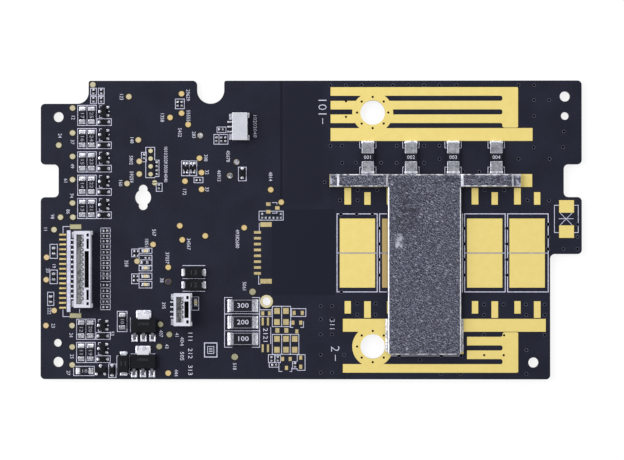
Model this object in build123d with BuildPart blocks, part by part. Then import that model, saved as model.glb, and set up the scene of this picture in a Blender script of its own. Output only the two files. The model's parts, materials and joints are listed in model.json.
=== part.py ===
"""A battery management board: a thin laminate with gold lands, a bus bar, shunts, sockets and small parts.

Millimetres. The origin lies in the middle of the board's underside, +X runs along the board from the
control side to the power side, and +Z points out of the populated face.
"""

from build123d import *

import os

# The laminate. The layout tables below give places on a board of layout_size, and the places spread
# with the board when its length or width is changed.
board_length = 138.8
board_width = 76.6
board_thickness = 1.6
layout_size = (138.8, 76.6)

# The board's outline
upper_left_step_x = 12.3
upper_left_step_y = 5.9
upper_left_step_radius = 2.9
lower_right_step_x = 8.1
lower_right_step_y = 32.1
side_notch_depth = 4.6
side_notch_height = 8.4
side_notch_y = 12.6
u_notch_x = -25.75
u_notch_width = 7.0
u_notch_depth = 5.9
outer_corner_radius = 1.1
inner_corner_radius = 1.2

# Holes through the board
terminal_hole_diameter = 6.3
screw_hole_diameter = 2.6
locating_hole_diameter = 2.0
plated_hole_diameter = 2.1
keyhole_diameter = 4.1
keyhole_lobe_diameter = 2.3
keyhole_lobe_reach = 2.1

terminal_places = [(15.85, 30.1), (15.85, -29.9)]
left_screw_places = [(-64.85, 29.0), (-64.85, -33.9)]
upper_right_screw = (65.1, 34.2)
lower_right_screw = (57.0, -34.0)
locating_places = [(-65.0, -29.0), (65.1, 29.2)]
plated_hole_place = (-11.4, -18.35)
keyhole_place = (-43.1, 8.35)

# Gold lands
land_thickness = 0.1
comb_bar_width = 2.2
comb_slot_width = 1.3
comb_wide_bar_width = 3.3
comb_column_width = 4.0
comb_column_right = 53.1
comb_corner_radius = 0.35
comb_slot_radius = 0.52
comb_column_gap = 0.12
terminal_ring_width = 2.1
battery_comb_reach = 6.5
battery_comb_span = (5.05, 56.8)
pack_comb_reach = 6.7
pack_comb_span = (8.2, 60.15)
short_bar_start = 40.0
rail_y = 12.65
rail_span = (4.8, 56.7)
rail_width = 3.3

transistor_count = 5
transistor_left = 7.4
transistor_pitch = 10.87
transistor_land_width = 9.05
transistor_land_height = 8.7
transistor_land_split = 0.3
transistor_land_y = -5.95
long_lead_land_width = 1.7
long_lead_land_height = 4.25
short_lead_land_width = 1.6
short_lead_land_height = 3.2
drain_lead_offset = 2.05
source_lead_offset = 7.1
lead_land_gap = 0.25
lead_land_step = 1.1

surge_land_width = 3.8
surge_land_height = 3.2
surge_land_places = [(65.5, 6.0), (65.5, -0.45)]
plated_ring_width = 0.6

test_pad_diameter = 1.6
test_pad_places = [
    (-56.0, 37.3), (-61.2, 31.3), (-61.2, 24.9), (-64.75, 21.75), (-61.2, 18.85), (-61.2, 12.9),
    (-61.2, 6.9), (-65.95, 0.05), (-67.85, -7.05), (-67.95, -12.8),
    (-65.9, -20.7), (-68.0, -24.55), (-61.25, -30.05), (-61.25, -34.65),
    (-46.75, 34.2), (-44.3, 23.1), (-44.05, 17.6), (-44.05, 14.35), (-47.2, 11.9), (-33.2, 34.95),
    (-33.2, 29.95), (-36.15, 28.85), (-31.5, 27.05), (-28.6, 18.4), (-28.05, 14.7), (-32.3, 12.5),
    (-28.05, 10.4), (-40.5, -3.75), (-33.65, 1.05), (-33.0, -2.55), (-27.1, -1.55), (-44.6, -8.05),
    (-36.6, -9.6), (-38.6, -24.25), (-36.3, -26.85), (-38.9, -29.95), (-36.6, -36.75),
    (-10.3, 10.3), (-7.6, 7.1), (-17.1, 0.55),
]
# test pads over and under the spare cell socket's fixing lands
socket_pads_over = [-64.3, -61.1]
socket_pad_rise = 2.45
socket_pads_under = [-61.3]
socket_pad_drop = 2.55
large_test_pad_diameter = 1.8
large_test_pad_places = [(-14.95, -15.9), (-19.5, -32.6)]
tinned_pad_places = [(-28.4, 24.2), (-19.05, 17.4), (-20.75, 13.9), (-36.6, -13.3)]
header_pad_diameter = 1.25
header_pad_places = [(-41.15, 20.3), (-41.15, 18.3), (-41.15, 16.3), (-41.15, 14.3)]
bridge_pad_diameter = 1.3
bridge_pad_gap = 0.2
bridge_pad_place = (-40.1, 12.1)

# Lands of sockets and parts that are not fitted
spare_cell_count = 16
spare_cell_x = -63.7
spare_cell_shift = 0.5
spare_cell_land_length = 1.9
spare_cell_land_width = 0.6
spare_cell_fixing_x = -60.4
spare_socket_count = 8
spare_socket_x = -13.7
spare_socket_drop = 9.0
spare_socket_pitch = 1.5
spare_socket_land_length = 1.85
spare_socket_land_width = 0.75
spare_socket_fixing_x = -11.5
fixing_land_length = 3.0
fixing_land_width = 1.3
fixing_land_reach = 2.03
square_land_width = 1.5
square_land_height = 1.6
square_land_places = [
    (-8.7, -20.8), (-6.4, -20.8), (-8.7, -23.65), (-6.4, -23.65), (-8.7, -27.95), (-6.4, -27.95),
    (-4.15, -27.95), (-8.7, -30.75), (-6.4, -30.75), (-4.15, -30.75),
]
middle_land_width = 1.1
middle_land_height = 1.3
middle_land_places = [(-8.6, -25.8), (-6.3, -25.8)]
tall_land_width = 0.6
tall_land_height = 2.1
tall_land_places = [(-12.35, -23.5), (-11.0, -23.5), (-12.35, -30.35), (-11.0, -30.35)]
small_land_width = 0.85
small_land_height = 1.15
small_land_places = [
    (-12.35, -21.4), (-10.6, -21.4), (-4.3, -21.3), (-2.2, -21.3), (-4.6, -23.8), (-2.6, -23.8),
    (-3.6, -26.05), (-7.25, -33.1), (-5.3, -33.1), (-6.25, -35.4), (-2.6, -32.75), (-2.6, -35.1),
]
signal_land_width = 1.2
signal_land_height = 1.0
signal_land_places = [(-10.9, 6.6), (-10.9, 4.65), (-8.6, 5.6)]
tinned_land_width = 0.5
tinned_land_height = 0.55
tinned_row_y = 3.1
tinned_row = [-12.5, -11.6, -10.6, -9.6, -8.6, -7.7]
tinned_upper_rise = 1.0
tinned_upper = [-12.5, -7.7]

# The bus bar: a flat plate with two arms that rise over the board and come down again in feet
bar_thickness = 1.5
arm_rise = 0.9
bend_length = 0.55
arm_width = 3.2
arm_span = (4.9, 53.7)
foot_length = 1.8
plate_x = 29.1
plate_width = 18.7
plate_end = -32.0
plate_land_setback = 0.2
bar_edge_radius = 0.35
plate_corner_radius = 0.8
solder_width = 0.65
solder_height = 0.9

# Shunts that reach from the battery comb to the rail
shunt_columns = [14.6, 25.65, 36.45, 47.5]
shunt_width = 3.05
shunt_land_gap = 0.15
shunt_middle_length = 2.0
shunt_height = 1.3
shunt_middle_height = 0.8

# Wafer sockets: housings with an open top, and one that opens sideways
pin_pitch = 1.25
socket_end_margin = 2.3
socket_depth = 4.25
socket_height = 4.2
socket_wall = 0.62
socket_end_wall = 0.88
socket_floor = 1.0
cavity_width = 1.95
ledge_width = 0.7
ledge_height = 2.7
pin_inset = 1.4
pin_pocket_diameter = 0.85
slot_wall = 0.4
slot_width = 0.62
slot_end_margin = 0.65
slot_rib = 0.55
key_depth = 1.6
key_reach = 0.5
ear_reach = 0.3
ear_length = 1.0
ear_height = 2.4
pin_thickness = 0.32
pin_height = 3.6
tail_reach = 1.05
tab_pin_gap = 0.42
tab_reach = 0.9
tab_height = 2.0
tab_thickness = 0.25
tab_inset = 0.2
cell_socket_pin_count = 13
cell_socket_place = (-58.35, -10.1)
cell_socket_ribs = [4.95, 8.1]
clock_socket_pin_count = 4
clock_socket_place = (-32.85, -20.4)
clock_socket_ribs = [2.4]
bus_socket_pin_count = 3
bus_socket_place = (-18.15, 26.45)
bus_end_margin = 2.25
bus_socket_depth = 3.85
bus_socket_height = 3.4
bus_socket_wall = 0.65
bus_cavity_depth = 2.9
bus_ear_length = 1.25
bus_ear_reach = 0.45
bus_ear_height = 1.6
bus_tail_reach = 1.35

# Three-lead regulators
regulator_length = 6.5
regulator_width = 3.5
regulator_height = 1.6
regulator_tab_width = 3.0
regulator_lead_width = 0.75
regulator_lead_pitch = 2.3
regulator_lead_reach = 1.75
regulator_lead_foot = 0.9
regulator_places = [(-42.9, -24.6), (-43.05, -33.75)]

# Leads of all moulded parts
lead_thickness = 0.15
lead_foot = 0.3
body_standoff = 0.1
body_chamfer = 0.12

# Power diodes: (x, y, turn)
power_diode_length = 4.3
power_diode_width = 2.6
power_diode_height = 2.2
power_diode_lead_width = 1.5
power_diode_reach = 0.45
power_diode_places = [(-30.05, -10.95, 0), (-30.05, -14.15, 0)]
regulator_diode_y = -34.3
regulator_diode_gap = 0.4

# Two-ended chips
load_resistor_length = 6.4
load_resistor_width = 3.2
load_resistor_height = 0.6
load_resistor_cap = 0.65
load_resistor_gap = 1.05
load_resistor_count = 3
load_resistor_place = (-17.45, -23.7)
balance_resistor_length = 3.2
balance_resistor_width = 1.6
balance_resistor_height = 0.55
balance_resistor_cap = 0.5
timing_chip_length = 3.2
timing_chip_width = 1.6
timing_chip_height = 0.9
timing_chip_cap = 0.5
timing_chip_place = (-48.4, -23.4, 90)
small_chip_length = 1.0
small_chip_width = 0.5
small_chip_height = 0.35
small_chip_cap = 0.25
medium_chip_length = 1.6
medium_chip_width = 0.8
medium_chip_height = 0.45
medium_chip_cap = 0.35

# A balance channel, measured from its upper left corner: two resistors, a transistor and a diode
channel_columns = {-59.9: [32.0, 26.05, 20.05, 14.05, 8.1], -60.15: [-22.9, -28.85]}
channel_margin = 0.4
channel_resistor_drop = 2.55
channel_resistor_gap = 0.75
channel_transistor_drop = 1.6
channel_transistor_gap = 1.2
channel_diode_gap = 0.65
last_resistor_place = (-58.1, -36.2, 0)
last_transistor_place = (-53.95, -35.95, -90)
last_diode_place = (-51.0, -36.05, 90)

# Small moulded parts
transistor_width = 1.3
transistor_length = 2.9
transistor_height = 1.0
transistor_lead_pitch = 1.9
transistor_lead_width = 0.42
transistor_lead_reach = 0.55
small_diode_length = 1.7
small_diode_width = 1.25
small_diode_height = 0.9
small_diode_lead_width = 0.5
small_diode_reach = 0.42
signal_diode_place = (-17.6, 14.55, 90)
signal_part_width = 0.9
signal_part_length = 1.6
signal_part_height = 0.7
signal_part_lead_pitch = 1.0
signal_part_lead_width = 0.3
signal_part_reach = 0.45
signal_part_places = [(-32.15, 15.9, -90), (-30.3, 15.9, -90)]

filter_chip_x = -52.75
filter_chip_rows = [
    -0.2, -1.55, -2.9, -4.3, -5.75, -7.15, -8.5, -9.75, -11.25, -12.4, -14.15, -15.7, -17.0, -18.4,
    -19.8,
]
small_resistor_places = [
    (-55.85, 35.5, 90), (-55.85, 33.4, 90), (-53.85, 35.5, 90), (-53.85, 33.4, 90),
    (-34.2, 32.35, 90), (-33.15, 32.35, 90), (-42.85, 18.85, 90), (-39.55, 16.85, 90),
    (-39.55, 14.8, 90), (-39.0, 11.1, 90), (-28.85, 12.8, 0), (-23.05, 25.8, 0),
    (-24.25, 23.25, 90), (-23.0, 23.25, 90), (-21.95, 23.25, 90), (-44.8, -5.45, 0),
    (-44.8, -6.6, 0), (-41.9, -7.2, 0), (-44.9, -11.9, 0), (-44.9, -12.95, 0), (-10.1, -33.1, 90),
    (-8.5, -33.05, 90), (-9.4, -34.55, 0), (-4.05, -34.65, 90),
]
medium_resistor_places = [(-66.05, -5.4, 90), (-66.05, -12.0, 90), (-66.8, -17.8, 90), (-42.7, -8.35, 0)]
capacitor_places = [
    (-42.4, -5.35, 0), (-42.4, -9.75, 0), (-42.4, -11.9, 0), (-42.4, -14.0, 0), (-29.55, -18.65, 90),
]

# One layout millimetre along the board and across it
column = board_length / layout_size[0]
row = board_width / layout_size[1]
board_left, board_right = -board_length / 2, board_length / 2
board_top, board_bottom = board_width / 2, -board_width / 2
face = board_thickness
land_face = face + land_thickness
STANDING = (Align.CENTER, Align.CENTER, Align.MIN)
# how near to a line a corner counts as on it
nearness = 0.01


def at(x, y):
    """A place of the layout tables as a point on the board."""
    return (x * column, y * row)


def laid_out(places):
    """Places of a layout table, with or without a turn, as (x, y) or (x, y, turn) on the board."""
    return [(*at(*place[:2]), *place[2:]) for place in places]


def spots(places, level=face):
    """Locations of (x, y) or (x, y, turn) places at a level."""
    return [Location((place[0], place[1], level), (0, 0, sum(place[2:]))) for place in places]


def row_of(count, pitch):
    """Offsets of count things in a row, about its middle."""
    return [(number - (count - 1) / 2) * pitch for number in range(count)]


def save(part, name):
    """Label one finished piece and write it."""
    part.label = name
    export_step(part, f"parts/{name}.step")


def round_lands(places, diameter):
    """Round lands on the board's face, at places on the board."""
    with BuildPart() as lands:
        with Locations(*spots(places)):
            Cylinder(diameter / 2, land_thickness, align=STANDING)
    return lands.part


def square_lands(*groups):
    """Rectangular lands on the board's face, as groups of (width, height, places on the board)."""
    with BuildPart() as lands:
        for width, height, places in groups:
            with Locations(*spots(places)):
                Box(width, height, land_thickness, align=STANDING)
    return lands.part


def save_chips(name, places, length, width, height, cap):
    """Bodies and end caps of two-ended chips that lie on the board's face."""
    with BuildPart() as bodies:
        with Locations(*spots(places)):
            Box(length - 2 * cap, width, height, align=STANDING)
    with BuildPart() as caps:
        with Locations(*spots(places)):
            with Locations(((cap - length) / 2, 0), ((length - cap) / 2, 0)):
                Box(cap, width, height, align=STANDING)
    save(bodies.part, f"{name}_bodies")
    save(caps.part, f"{name}_caps")


def gull_lead(side, reach, foot, width, rise):
    """One bent lead: it leaves a body's side along +X at height rise and ends in a foot on the board."""
    toe = side + reach
    heel = toe - foot
    inner = heel + lead_thickness
    with BuildPart() as lead:
        with BuildSketch(Plane.XZ.offset(-width / 2)):
            with BuildLine():
                Polyline(
                    (side, rise), (heel, rise), (heel, 0), (toe, 0), (toe, lead_thickness),
                    (inner, lead_thickness), (inner, rise + lead_thickness), (side, rise + lead_thickness),
                    close=True,
                )
            make_face()
        extrude(amount=width)
    return lead.part


def save_moulded(name, places, length, width, height, leads):
    """Moulded bodies that their leads hold just over the board, and those leads.

    leads holds (lead, (x, y, turn)) about one body's middle.
    """
    with BuildPart() as body:
        with Locations((0, 0, body_standoff)):
            Box(length, width, height - body_standoff, align=STANDING)
        chamfer(body.faces().sort_by(Axis.Z)[-1].edges(), body_chamfer)
    with BuildPart() as bodies:
        with Locations(*spots(places)):
            add(body.part)
    with BuildPart() as all_leads:
        with Locations(*spots(places)):
            for lead, (x, y, turn) in leads:
                with Locations(Location((x, y, 0), (0, 0, turn))):
                    add(lead)
    save(bodies.part, f"{name}_bodies")
    save(all_leads.part, f"{name}_leads")


# The board: its outline runs clockwise from the top of the upper left step
step_x = board_left + upper_left_step_x
step_y = board_top - upper_left_step_y
tail_x = board_right - lower_right_step_x
tail_y = board_bottom + lower_right_step_y
notch_low = side_notch_y * row - side_notch_height / 2
notch_high = side_notch_y * row + side_notch_height / 2
notch_left = board_left + side_notch_depth
notch_right = board_right - side_notch_depth
u_left = u_notch_x * column - u_notch_width / 2
u_right = u_notch_x * column + u_notch_width / 2
u_floor = board_top - u_notch_depth
u_radius = min(u_notch_width / 2, u_notch_depth - outer_corner_radius) * 0.999
outline = [
    ((step_x, board_top), outer_corner_radius / 2),
    ((u_left, board_top), outer_corner_radius),
    ((u_left, u_floor), u_radius),
    ((u_right, u_floor), u_radius),
    ((u_right, board_top), outer_corner_radius / 2),
    ((board_right, board_top), outer_corner_radius),
    ((board_right, notch_high), outer_corner_radius),
    ((notch_right, notch_high), inner_corner_radius),
    ((notch_right, notch_low), inner_corner_radius),
    ((board_right, notch_low), outer_corner_radius),
    ((board_right, tail_y), outer_corner_radius),
    ((tail_x, tail_y), inner_corner_radius),
    ((tail_x, board_bottom), outer_corner_radius),
    ((board_left, board_bottom), outer_corner_radius),
    ((board_left, notch_low), outer_corner_radius),
    ((notch_left, notch_low), inner_corner_radius),
    ((notch_left, notch_high), inner_corner_radius),
    ((board_left, notch_high), outer_corner_radius),
    ((board_left, step_y), outer_corner_radius),
    ((step_x, step_y), upper_left_step_radius),
]
screw_places = left_screw_places + [upper_right_screw, lower_right_screw]
with BuildPart() as circuit_board:
    with BuildSketch():
        with BuildLine():
            FilletPolyline(
                *[point for point, radius in outline],
                radius=[radius for point, radius in outline],
                close=True,
            )
        make_face()
        with Locations(*[at(*place) for place in terminal_places]):
            Circle(terminal_hole_diameter / 2, mode=Mode.SUBTRACT)
        with Locations(*[at(*place) for place in screw_places]):
            Circle(screw_hole_diameter / 2, mode=Mode.SUBTRACT)
        with Locations(*[at(*place) for place in locating_places]):
            Circle(locating_hole_diameter / 2, mode=Mode.SUBTRACT)
        with Locations(at(*plated_hole_place)):
            Circle(plated_hole_diameter / 2, mode=Mode.SUBTRACT)
        with Locations(at(*keyhole_place)):
            Circle(keyhole_diameter / 2, mode=Mode.SUBTRACT)
            with Locations((0, keyhole_lobe_reach), (0, -keyhole_lobe_reach)):
                Circle(keyhole_lobe_diameter / 2, mode=Mode.SUBTRACT)
    extrude(amount=board_thickness)

# Terminal combs. Each has three thin bars that run into a column, a wide bar beside the column's end, and
# a ring about the terminal hole that joins them all.
comb_step = comb_bar_width + comb_slot_width
battery_edge = terminal_places[0][1] * row + battery_comb_reach
battery_wide_top = battery_edge - 3 * comb_step
battery_wide_low = battery_wide_top - comb_wide_bar_width
pack_edge = terminal_places[1][1] * row - pack_comb_reach
pack_wide_low = pack_edge + 3 * comb_step
pack_wide_top = pack_wide_low + comb_wide_bar_width
column_right = comb_column_right * column
column_left = column_right - comb_column_width


def comb(edge, span, hole, inner_start):
    """A comb's land about its hole: its outer edge, its ends and the start of its two inner bars."""
    side = 1 if edge > 0 else -1
    left, wide_right = span[0] * column, span[1] * column
    column_end = edge - side * (3 * comb_step - comb_column_gap)
    starts = [left, inner_start * column, inner_start * column]
    with BuildPart() as land:
        with BuildSketch(Plane.XY.offset(face)) as shape:
            for number, start in enumerate(starts):
                middle = edge - side * (number * comb_step + comb_bar_width / 2)
                with Locations(((start + column_right) / 2, middle)):
                    Rectangle(column_right - start, comb_bar_width)
            with Locations(((column_left + column_right) / 2, (edge + column_end) / 2)):
                Rectangle(comb_column_width, abs(edge - column_end))
            slot_ends = shape.vertices().filter_by(lambda corner: abs(corner.X - column_left) < nearness)
            fillet(slot_ends, comb_slot_radius)
            ends = shape.vertices().filter_by(lambda corner: abs(corner.X - column_right) < nearness)
            fillet(ends, comb_corner_radius)
            wide_middle = edge - side * (3 * comb_step + comb_wide_bar_width / 2)
            with Locations(((left + wide_right) / 2, wide_middle)):
                Rectangle(wide_right - left, comb_wide_bar_width)
            with Locations(at(*hole)):
                Circle(terminal_hole_diameter / 2 + terminal_ring_width)
                Circle(terminal_hole_diameter / 2, mode=Mode.SUBTRACT)
        extrude(amount=land_thickness)
    return land.part


battery_terminal_land = comb(battery_edge, battery_comb_span, terminal_places[0], battery_comb_span[0])

# The bus bar's plate is soldered to a wider stretch of the pack terminal's land
plate_left = plate_x * column - plate_width / 2
plate_right = plate_left + plate_width
plate_low = plate_end * row
plate_land_end = plate_low + plate_land_setback
with BuildPart() as pack_terminal_land:
    add(comb(pack_edge, pack_comb_span, terminal_places[1], short_bar_start))
    with Locations(((plate_left + plate_right) / 2, (pack_wide_low + plate_land_end) / 2, face)):
        Box(plate_width + 2 * solder_width, pack_wide_low - plate_land_end, land_thickness, align=STANDING)
    with Locations((*at(*terminal_places[1]), face)):
        Cylinder(terminal_hole_diameter / 2, land_thickness, align=STANDING, mode=Mode.SUBTRACT)

# The rail under the bus bar's arms
rail_left, rail_right = rail_span[0] * column, rail_span[1] * column
rail_middle = rail_y * row
rail_place = ((rail_left + rail_right) / 2, rail_middle)
shunt_rail_land = square_lands((rail_right - rail_left, rail_width, [rail_place]))

# Transistor lands, split across, and lead lands that stop short of the rail above and the comb below
transistor_lefts = [
    (transistor_left + number * transistor_pitch) * column for number in range(transistor_count)
]
land_middle = transistor_land_y * row
half_step = (transistor_land_height + transistor_land_split) / 2
split_lands = [
    (left + transistor_land_width / 2, land_middle + way * half_step)
    for left in transistor_lefts
    for way in (1, -1)
]
transistor_lands = square_lands((transistor_land_width, transistor_land_height, split_lands))

upper_edge = rail_middle - rail_width / 2 - lead_land_gap
lower_edge = pack_wide_top + lead_land_gap
long_lands = []
short_lands = []
for left in transistor_lefts:
    drain = left + drain_lead_offset
    source = left + source_lead_offset
    long_lands += [(drain, upper_edge - long_lead_land_height / 2)]
    long_lands += [(source, lower_edge + long_lead_land_height / 2)]
    short_lands += [(source, upper_edge - lead_land_step - short_lead_land_height / 2)]
    short_lands += [(drain, lower_edge + lead_land_step + short_lead_land_height / 2)]
transistor_lead_lands = square_lands(
    (long_lead_land_width, long_lead_land_height, long_lands),
    (short_lead_land_width, short_lead_land_height, short_lands),
)

# Lands of parts and sockets that are not fitted
cell_x, cell_y = at(*cell_socket_place)
spare_cell_middle = cell_y - spare_cell_shift
spare_cell_rows = row_of(spare_cell_count, pin_pitch)
spare_cell_reach = spare_cell_rows[-1] + fixing_land_reach
spare_cell_lands = [(spare_cell_x * column, spare_cell_middle + offset) for offset in spare_cell_rows]
spare_cell_fixings = [
    (spare_cell_fixing_x * column, spare_cell_middle + way * spare_cell_reach) for way in (1, -1)
]
spare_cell_socket_lands = square_lands(
    (spare_cell_land_length, spare_cell_land_width, spare_cell_lands),
    (fixing_land_length, fixing_land_width, spare_cell_fixings),
)
spare_x = spare_socket_x * column
spare_y = tinned_row_y * row - spare_socket_drop
spare_rows = row_of(spare_socket_count, spare_socket_pitch)
spare_lands = [(spare_x, spare_y + offset) for offset in spare_rows]
spare_reach = spare_rows[-1] + fixing_land_reach
spare_fixings = [(spare_socket_fixing_x * column, spare_y + way * spare_reach) for way in (1, -1)]
spare_socket_lands = square_lands(
    (spare_socket_land_length, spare_socket_land_width, spare_lands),
    (fixing_land_length, fixing_land_width, spare_fixings),
)
spare_part_lands = square_lands(
    (square_land_width, square_land_height, laid_out(square_land_places)),
    (middle_land_width, middle_land_height, laid_out(middle_land_places)),
    (tall_land_width, tall_land_height, laid_out(tall_land_places)),
    (small_land_width, small_land_height, laid_out(small_land_places)),
    (signal_land_width, signal_land_height, laid_out(signal_land_places)),
)
tinned_places = laid_out([(x, tinned_row_y) for x in tinned_row])
tinned_places += [(x * column, tinned_row_y * row + tinned_upper_rise) for x in tinned_upper]
tinned_lands = square_lands((tinned_land_width, tinned_land_height, tinned_places))

# Test pads, with those over and under the spare cell socket
test_places = laid_out(test_pad_places)
test_places += [(x * column, spare_cell_fixings[0][1] + socket_pad_rise) for x in socket_pads_over]
test_places += [(x * column, spare_cell_fixings[1][1] - socket_pad_drop) for x in socket_pads_under]

with BuildPart() as plated_hole_ring:
    with Locations((*at(*plated_hole_place), face)):
        Cylinder(plated_hole_diameter / 2 + plated_ring_width, land_thickness, align=STANDING)
        Cylinder(plated_hole_diameter / 2, land_thickness, align=STANDING, mode=Mode.SUBTRACT)

# A solder bridge: a round land split across its middle
with BuildPart() as solder_bridge_lands:
    with Locations((*at(*bridge_pad_place), face)):
        Cylinder(bridge_pad_diameter / 2, land_thickness, align=STANDING)
        Box(bridge_pad_diameter, bridge_pad_gap, land_thickness, align=STANDING, mode=Mode.SUBTRACT)

# The bus bar: a profile along X for its arms and feet, and the plate that it widens into
arm_low = rail_middle - arm_width / 2
arm_high = rail_middle + arm_width / 2
left_end, right_end = arm_span[0] * column, arm_span[1] * column
raised = land_face + arm_rise
under_side = [
    (left_end, land_face), (left_end + foot_length, land_face),
    (left_end + foot_length + bend_length, raised), (plate_left - bend_length, raised),
    (plate_left, land_face), (plate_right, land_face), (plate_right + bend_length, raised),
    (right_end - foot_length - bend_length, raised), (right_end - foot_length, land_face),
    (right_end, land_face),
]
upper_side = [(x, z + bar_thickness) for x, z in reversed(under_side)]
with BuildPart() as bus_bar:
    with BuildSketch(Plane.XZ.offset(-arm_high)):
        with BuildLine():
            Polyline(*under_side, *upper_side, close=True)
        make_face()
    extrude(amount=arm_width)
    with Locations(((plate_left + plate_right) / 2, (arm_high + plate_low) / 2, land_face)):
        Box(plate_width, arm_high - plate_low, bar_thickness, align=STANDING)
    fillet(bus_bar.edges().filter_by(Axis.Z).sort_by(Axis.Y)[:2], plate_corner_radius)
    fillet(bus_bar.faces().sort_by(Axis.Y)[0].edges().sort_by(Axis.Z)[-1], bar_edge_radius)

# Solder between the plate's sides and the land beside them
with BuildPart() as bus_bar_solder:
    with BuildSketch(Plane.XZ.offset(-pack_wide_top)):
        for x, way in ((plate_left, -1), (plate_right, 1)):
            with BuildLine():
                Polyline(
                    (x, land_face), (x + way * solder_width, land_face),
                    (x + way * solder_width / 3, land_face + solder_height / 3),
                    (x, land_face + solder_height), close=True,
                )
            make_face()
    extrude(amount=pack_wide_top - plate_land_end)
    # the fillets stop where the plate's corners start to turn
    with Locations(((plate_left + plate_right) / 2, plate_low, land_face)):
        Box(plate_width + 2 * solder_width, 2 * plate_corner_radius, solder_height,
            align=STANDING, mode=Mode.SUBTRACT)

# Shunts: two copper ends and a raised dark middle, between the comb and the rail or the wider arm on it
shunt_high = battery_wide_low - shunt_land_gap
shunt_low = rail_middle + max(rail_width, arm_width) / 2 + shunt_land_gap
shunt_middle = (shunt_high + shunt_low) / 2
shunt_end_length = (shunt_high - shunt_low - shunt_middle_length) / 2
shunt_end_offset = (shunt_end_length + shunt_middle_length) / 2
shunt_places = [(x * column, shunt_middle) for x in shunt_columns]
with BuildPart() as shunt_ends:
    with Locations(*spots(shunt_places)):
        with Locations((0, shunt_end_offset), (0, -shunt_end_offset)):
            Box(shunt_width, shunt_end_length, shunt_height, align=STANDING)
with BuildPart() as shunt_middles:
    with Locations(*spots(shunt_places, face + shunt_height - shunt_middle_height)):
        Box(shunt_width, shunt_middle_length, shunt_middle_height, align=STANDING)


def socket_tabs(left, y, length, margin):
    """Two L-shaped fixing tabs against a socket's left side, between its outer pins and its ends."""
    outer = length / 2 - tab_inset
    inner = length / 2 - margin + pin_thickness / 2 + tab_pin_gap
    with BuildPart() as tabs:
        for way in (1, -1):
            with Locations((left, y + way * (outer + inner) / 2, face)):
                with Locations((-tab_reach / 2, 0)):
                    Box(tab_reach, outer - inner, tab_thickness, align=STANDING)
                with Locations((-tab_thickness / 2, 0)):
                    Box(tab_thickness, outer - inner, tab_height, align=STANDING)
    return tabs.part


def save_wafer_socket(name, place, pins, ribs):
    """A socket that opens upwards. ribs are offsets of the ribs that cross its key slot."""
    x, y = at(*place)
    length = (pins - 1) * pin_pitch + 2 * socket_end_margin
    left, right = x - socket_depth / 2, x + socket_depth / 2
    cavity_left = left + socket_wall
    cavity_right = cavity_left + cavity_width
    cavity_length = length - 2 * socket_end_wall
    pin_x = cavity_left + pin_inset
    slot_x = right - slot_wall - slot_width / 2
    deck = face + socket_floor
    rows = [y + offset for offset in row_of(pins, pin_pitch)]
    with BuildPart() as socket_pins:
        with Locations(*[(0, pin_y, face) for pin_y in rows]):
            with Locations(((left - tail_reach + pin_x) / 2, 0)):
                Box(pin_x - left + tail_reach, pin_thickness, pin_thickness, align=STANDING)
            with Locations((pin_x, 0)):
                Box(pin_thickness, pin_thickness, pin_height, align=STANDING)
    with BuildPart() as housing:
        with Locations((x, y, face)):
            Box(socket_depth, length, socket_height, align=STANDING)
        with Locations((cavity_left + cavity_width / 2, y, deck)):
            Box(cavity_width, cavity_length, socket_height, align=STANDING, mode=Mode.SUBTRACT)
        with Locations((cavity_right - ledge_width / 2, y, deck)):
            Box(ledge_width, cavity_length, ledge_height - socket_floor, align=STANDING)
        with Locations(*[(pin_x, pin_y, deck) for pin_y in rows]):
            Cylinder(pin_pocket_diameter / 2, socket_height, align=STANDING, mode=Mode.SUBTRACT)
        with Locations((slot_x, y, deck)):
            Box(slot_width, length - 2 * slot_end_margin, socket_height, align=STANDING, mode=Mode.SUBTRACT)
        with Locations((slot_x - (slot_width + key_reach) / 2, y, face + socket_height - key_depth)):
            Box(key_reach, 2 * ribs[0] - slot_rib, key_depth, align=STANDING, mode=Mode.SUBTRACT)
        with Locations(*[(slot_x, y + way * rib, deck) for rib in ribs for way in (-1, 1)]):
            Box(slot_width, slot_rib, socket_height - socket_floor, align=STANDING)
        ear_y = (length - ear_length) / 2
        with Locations(*[(right + ear_reach / 2, y + way * ear_y, face) for way in (1, -1)]):
            Box(ear_reach, ear_length, ear_height, align=STANDING)
        add(socket_pins.part, mode=Mode.SUBTRACT)
    save(housing.part, f"{name}_housing")
    save(socket_pins.part, f"{name}_pins")
    save(socket_tabs(left, y, length, socket_end_margin), f"{name}_tabs")


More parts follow.
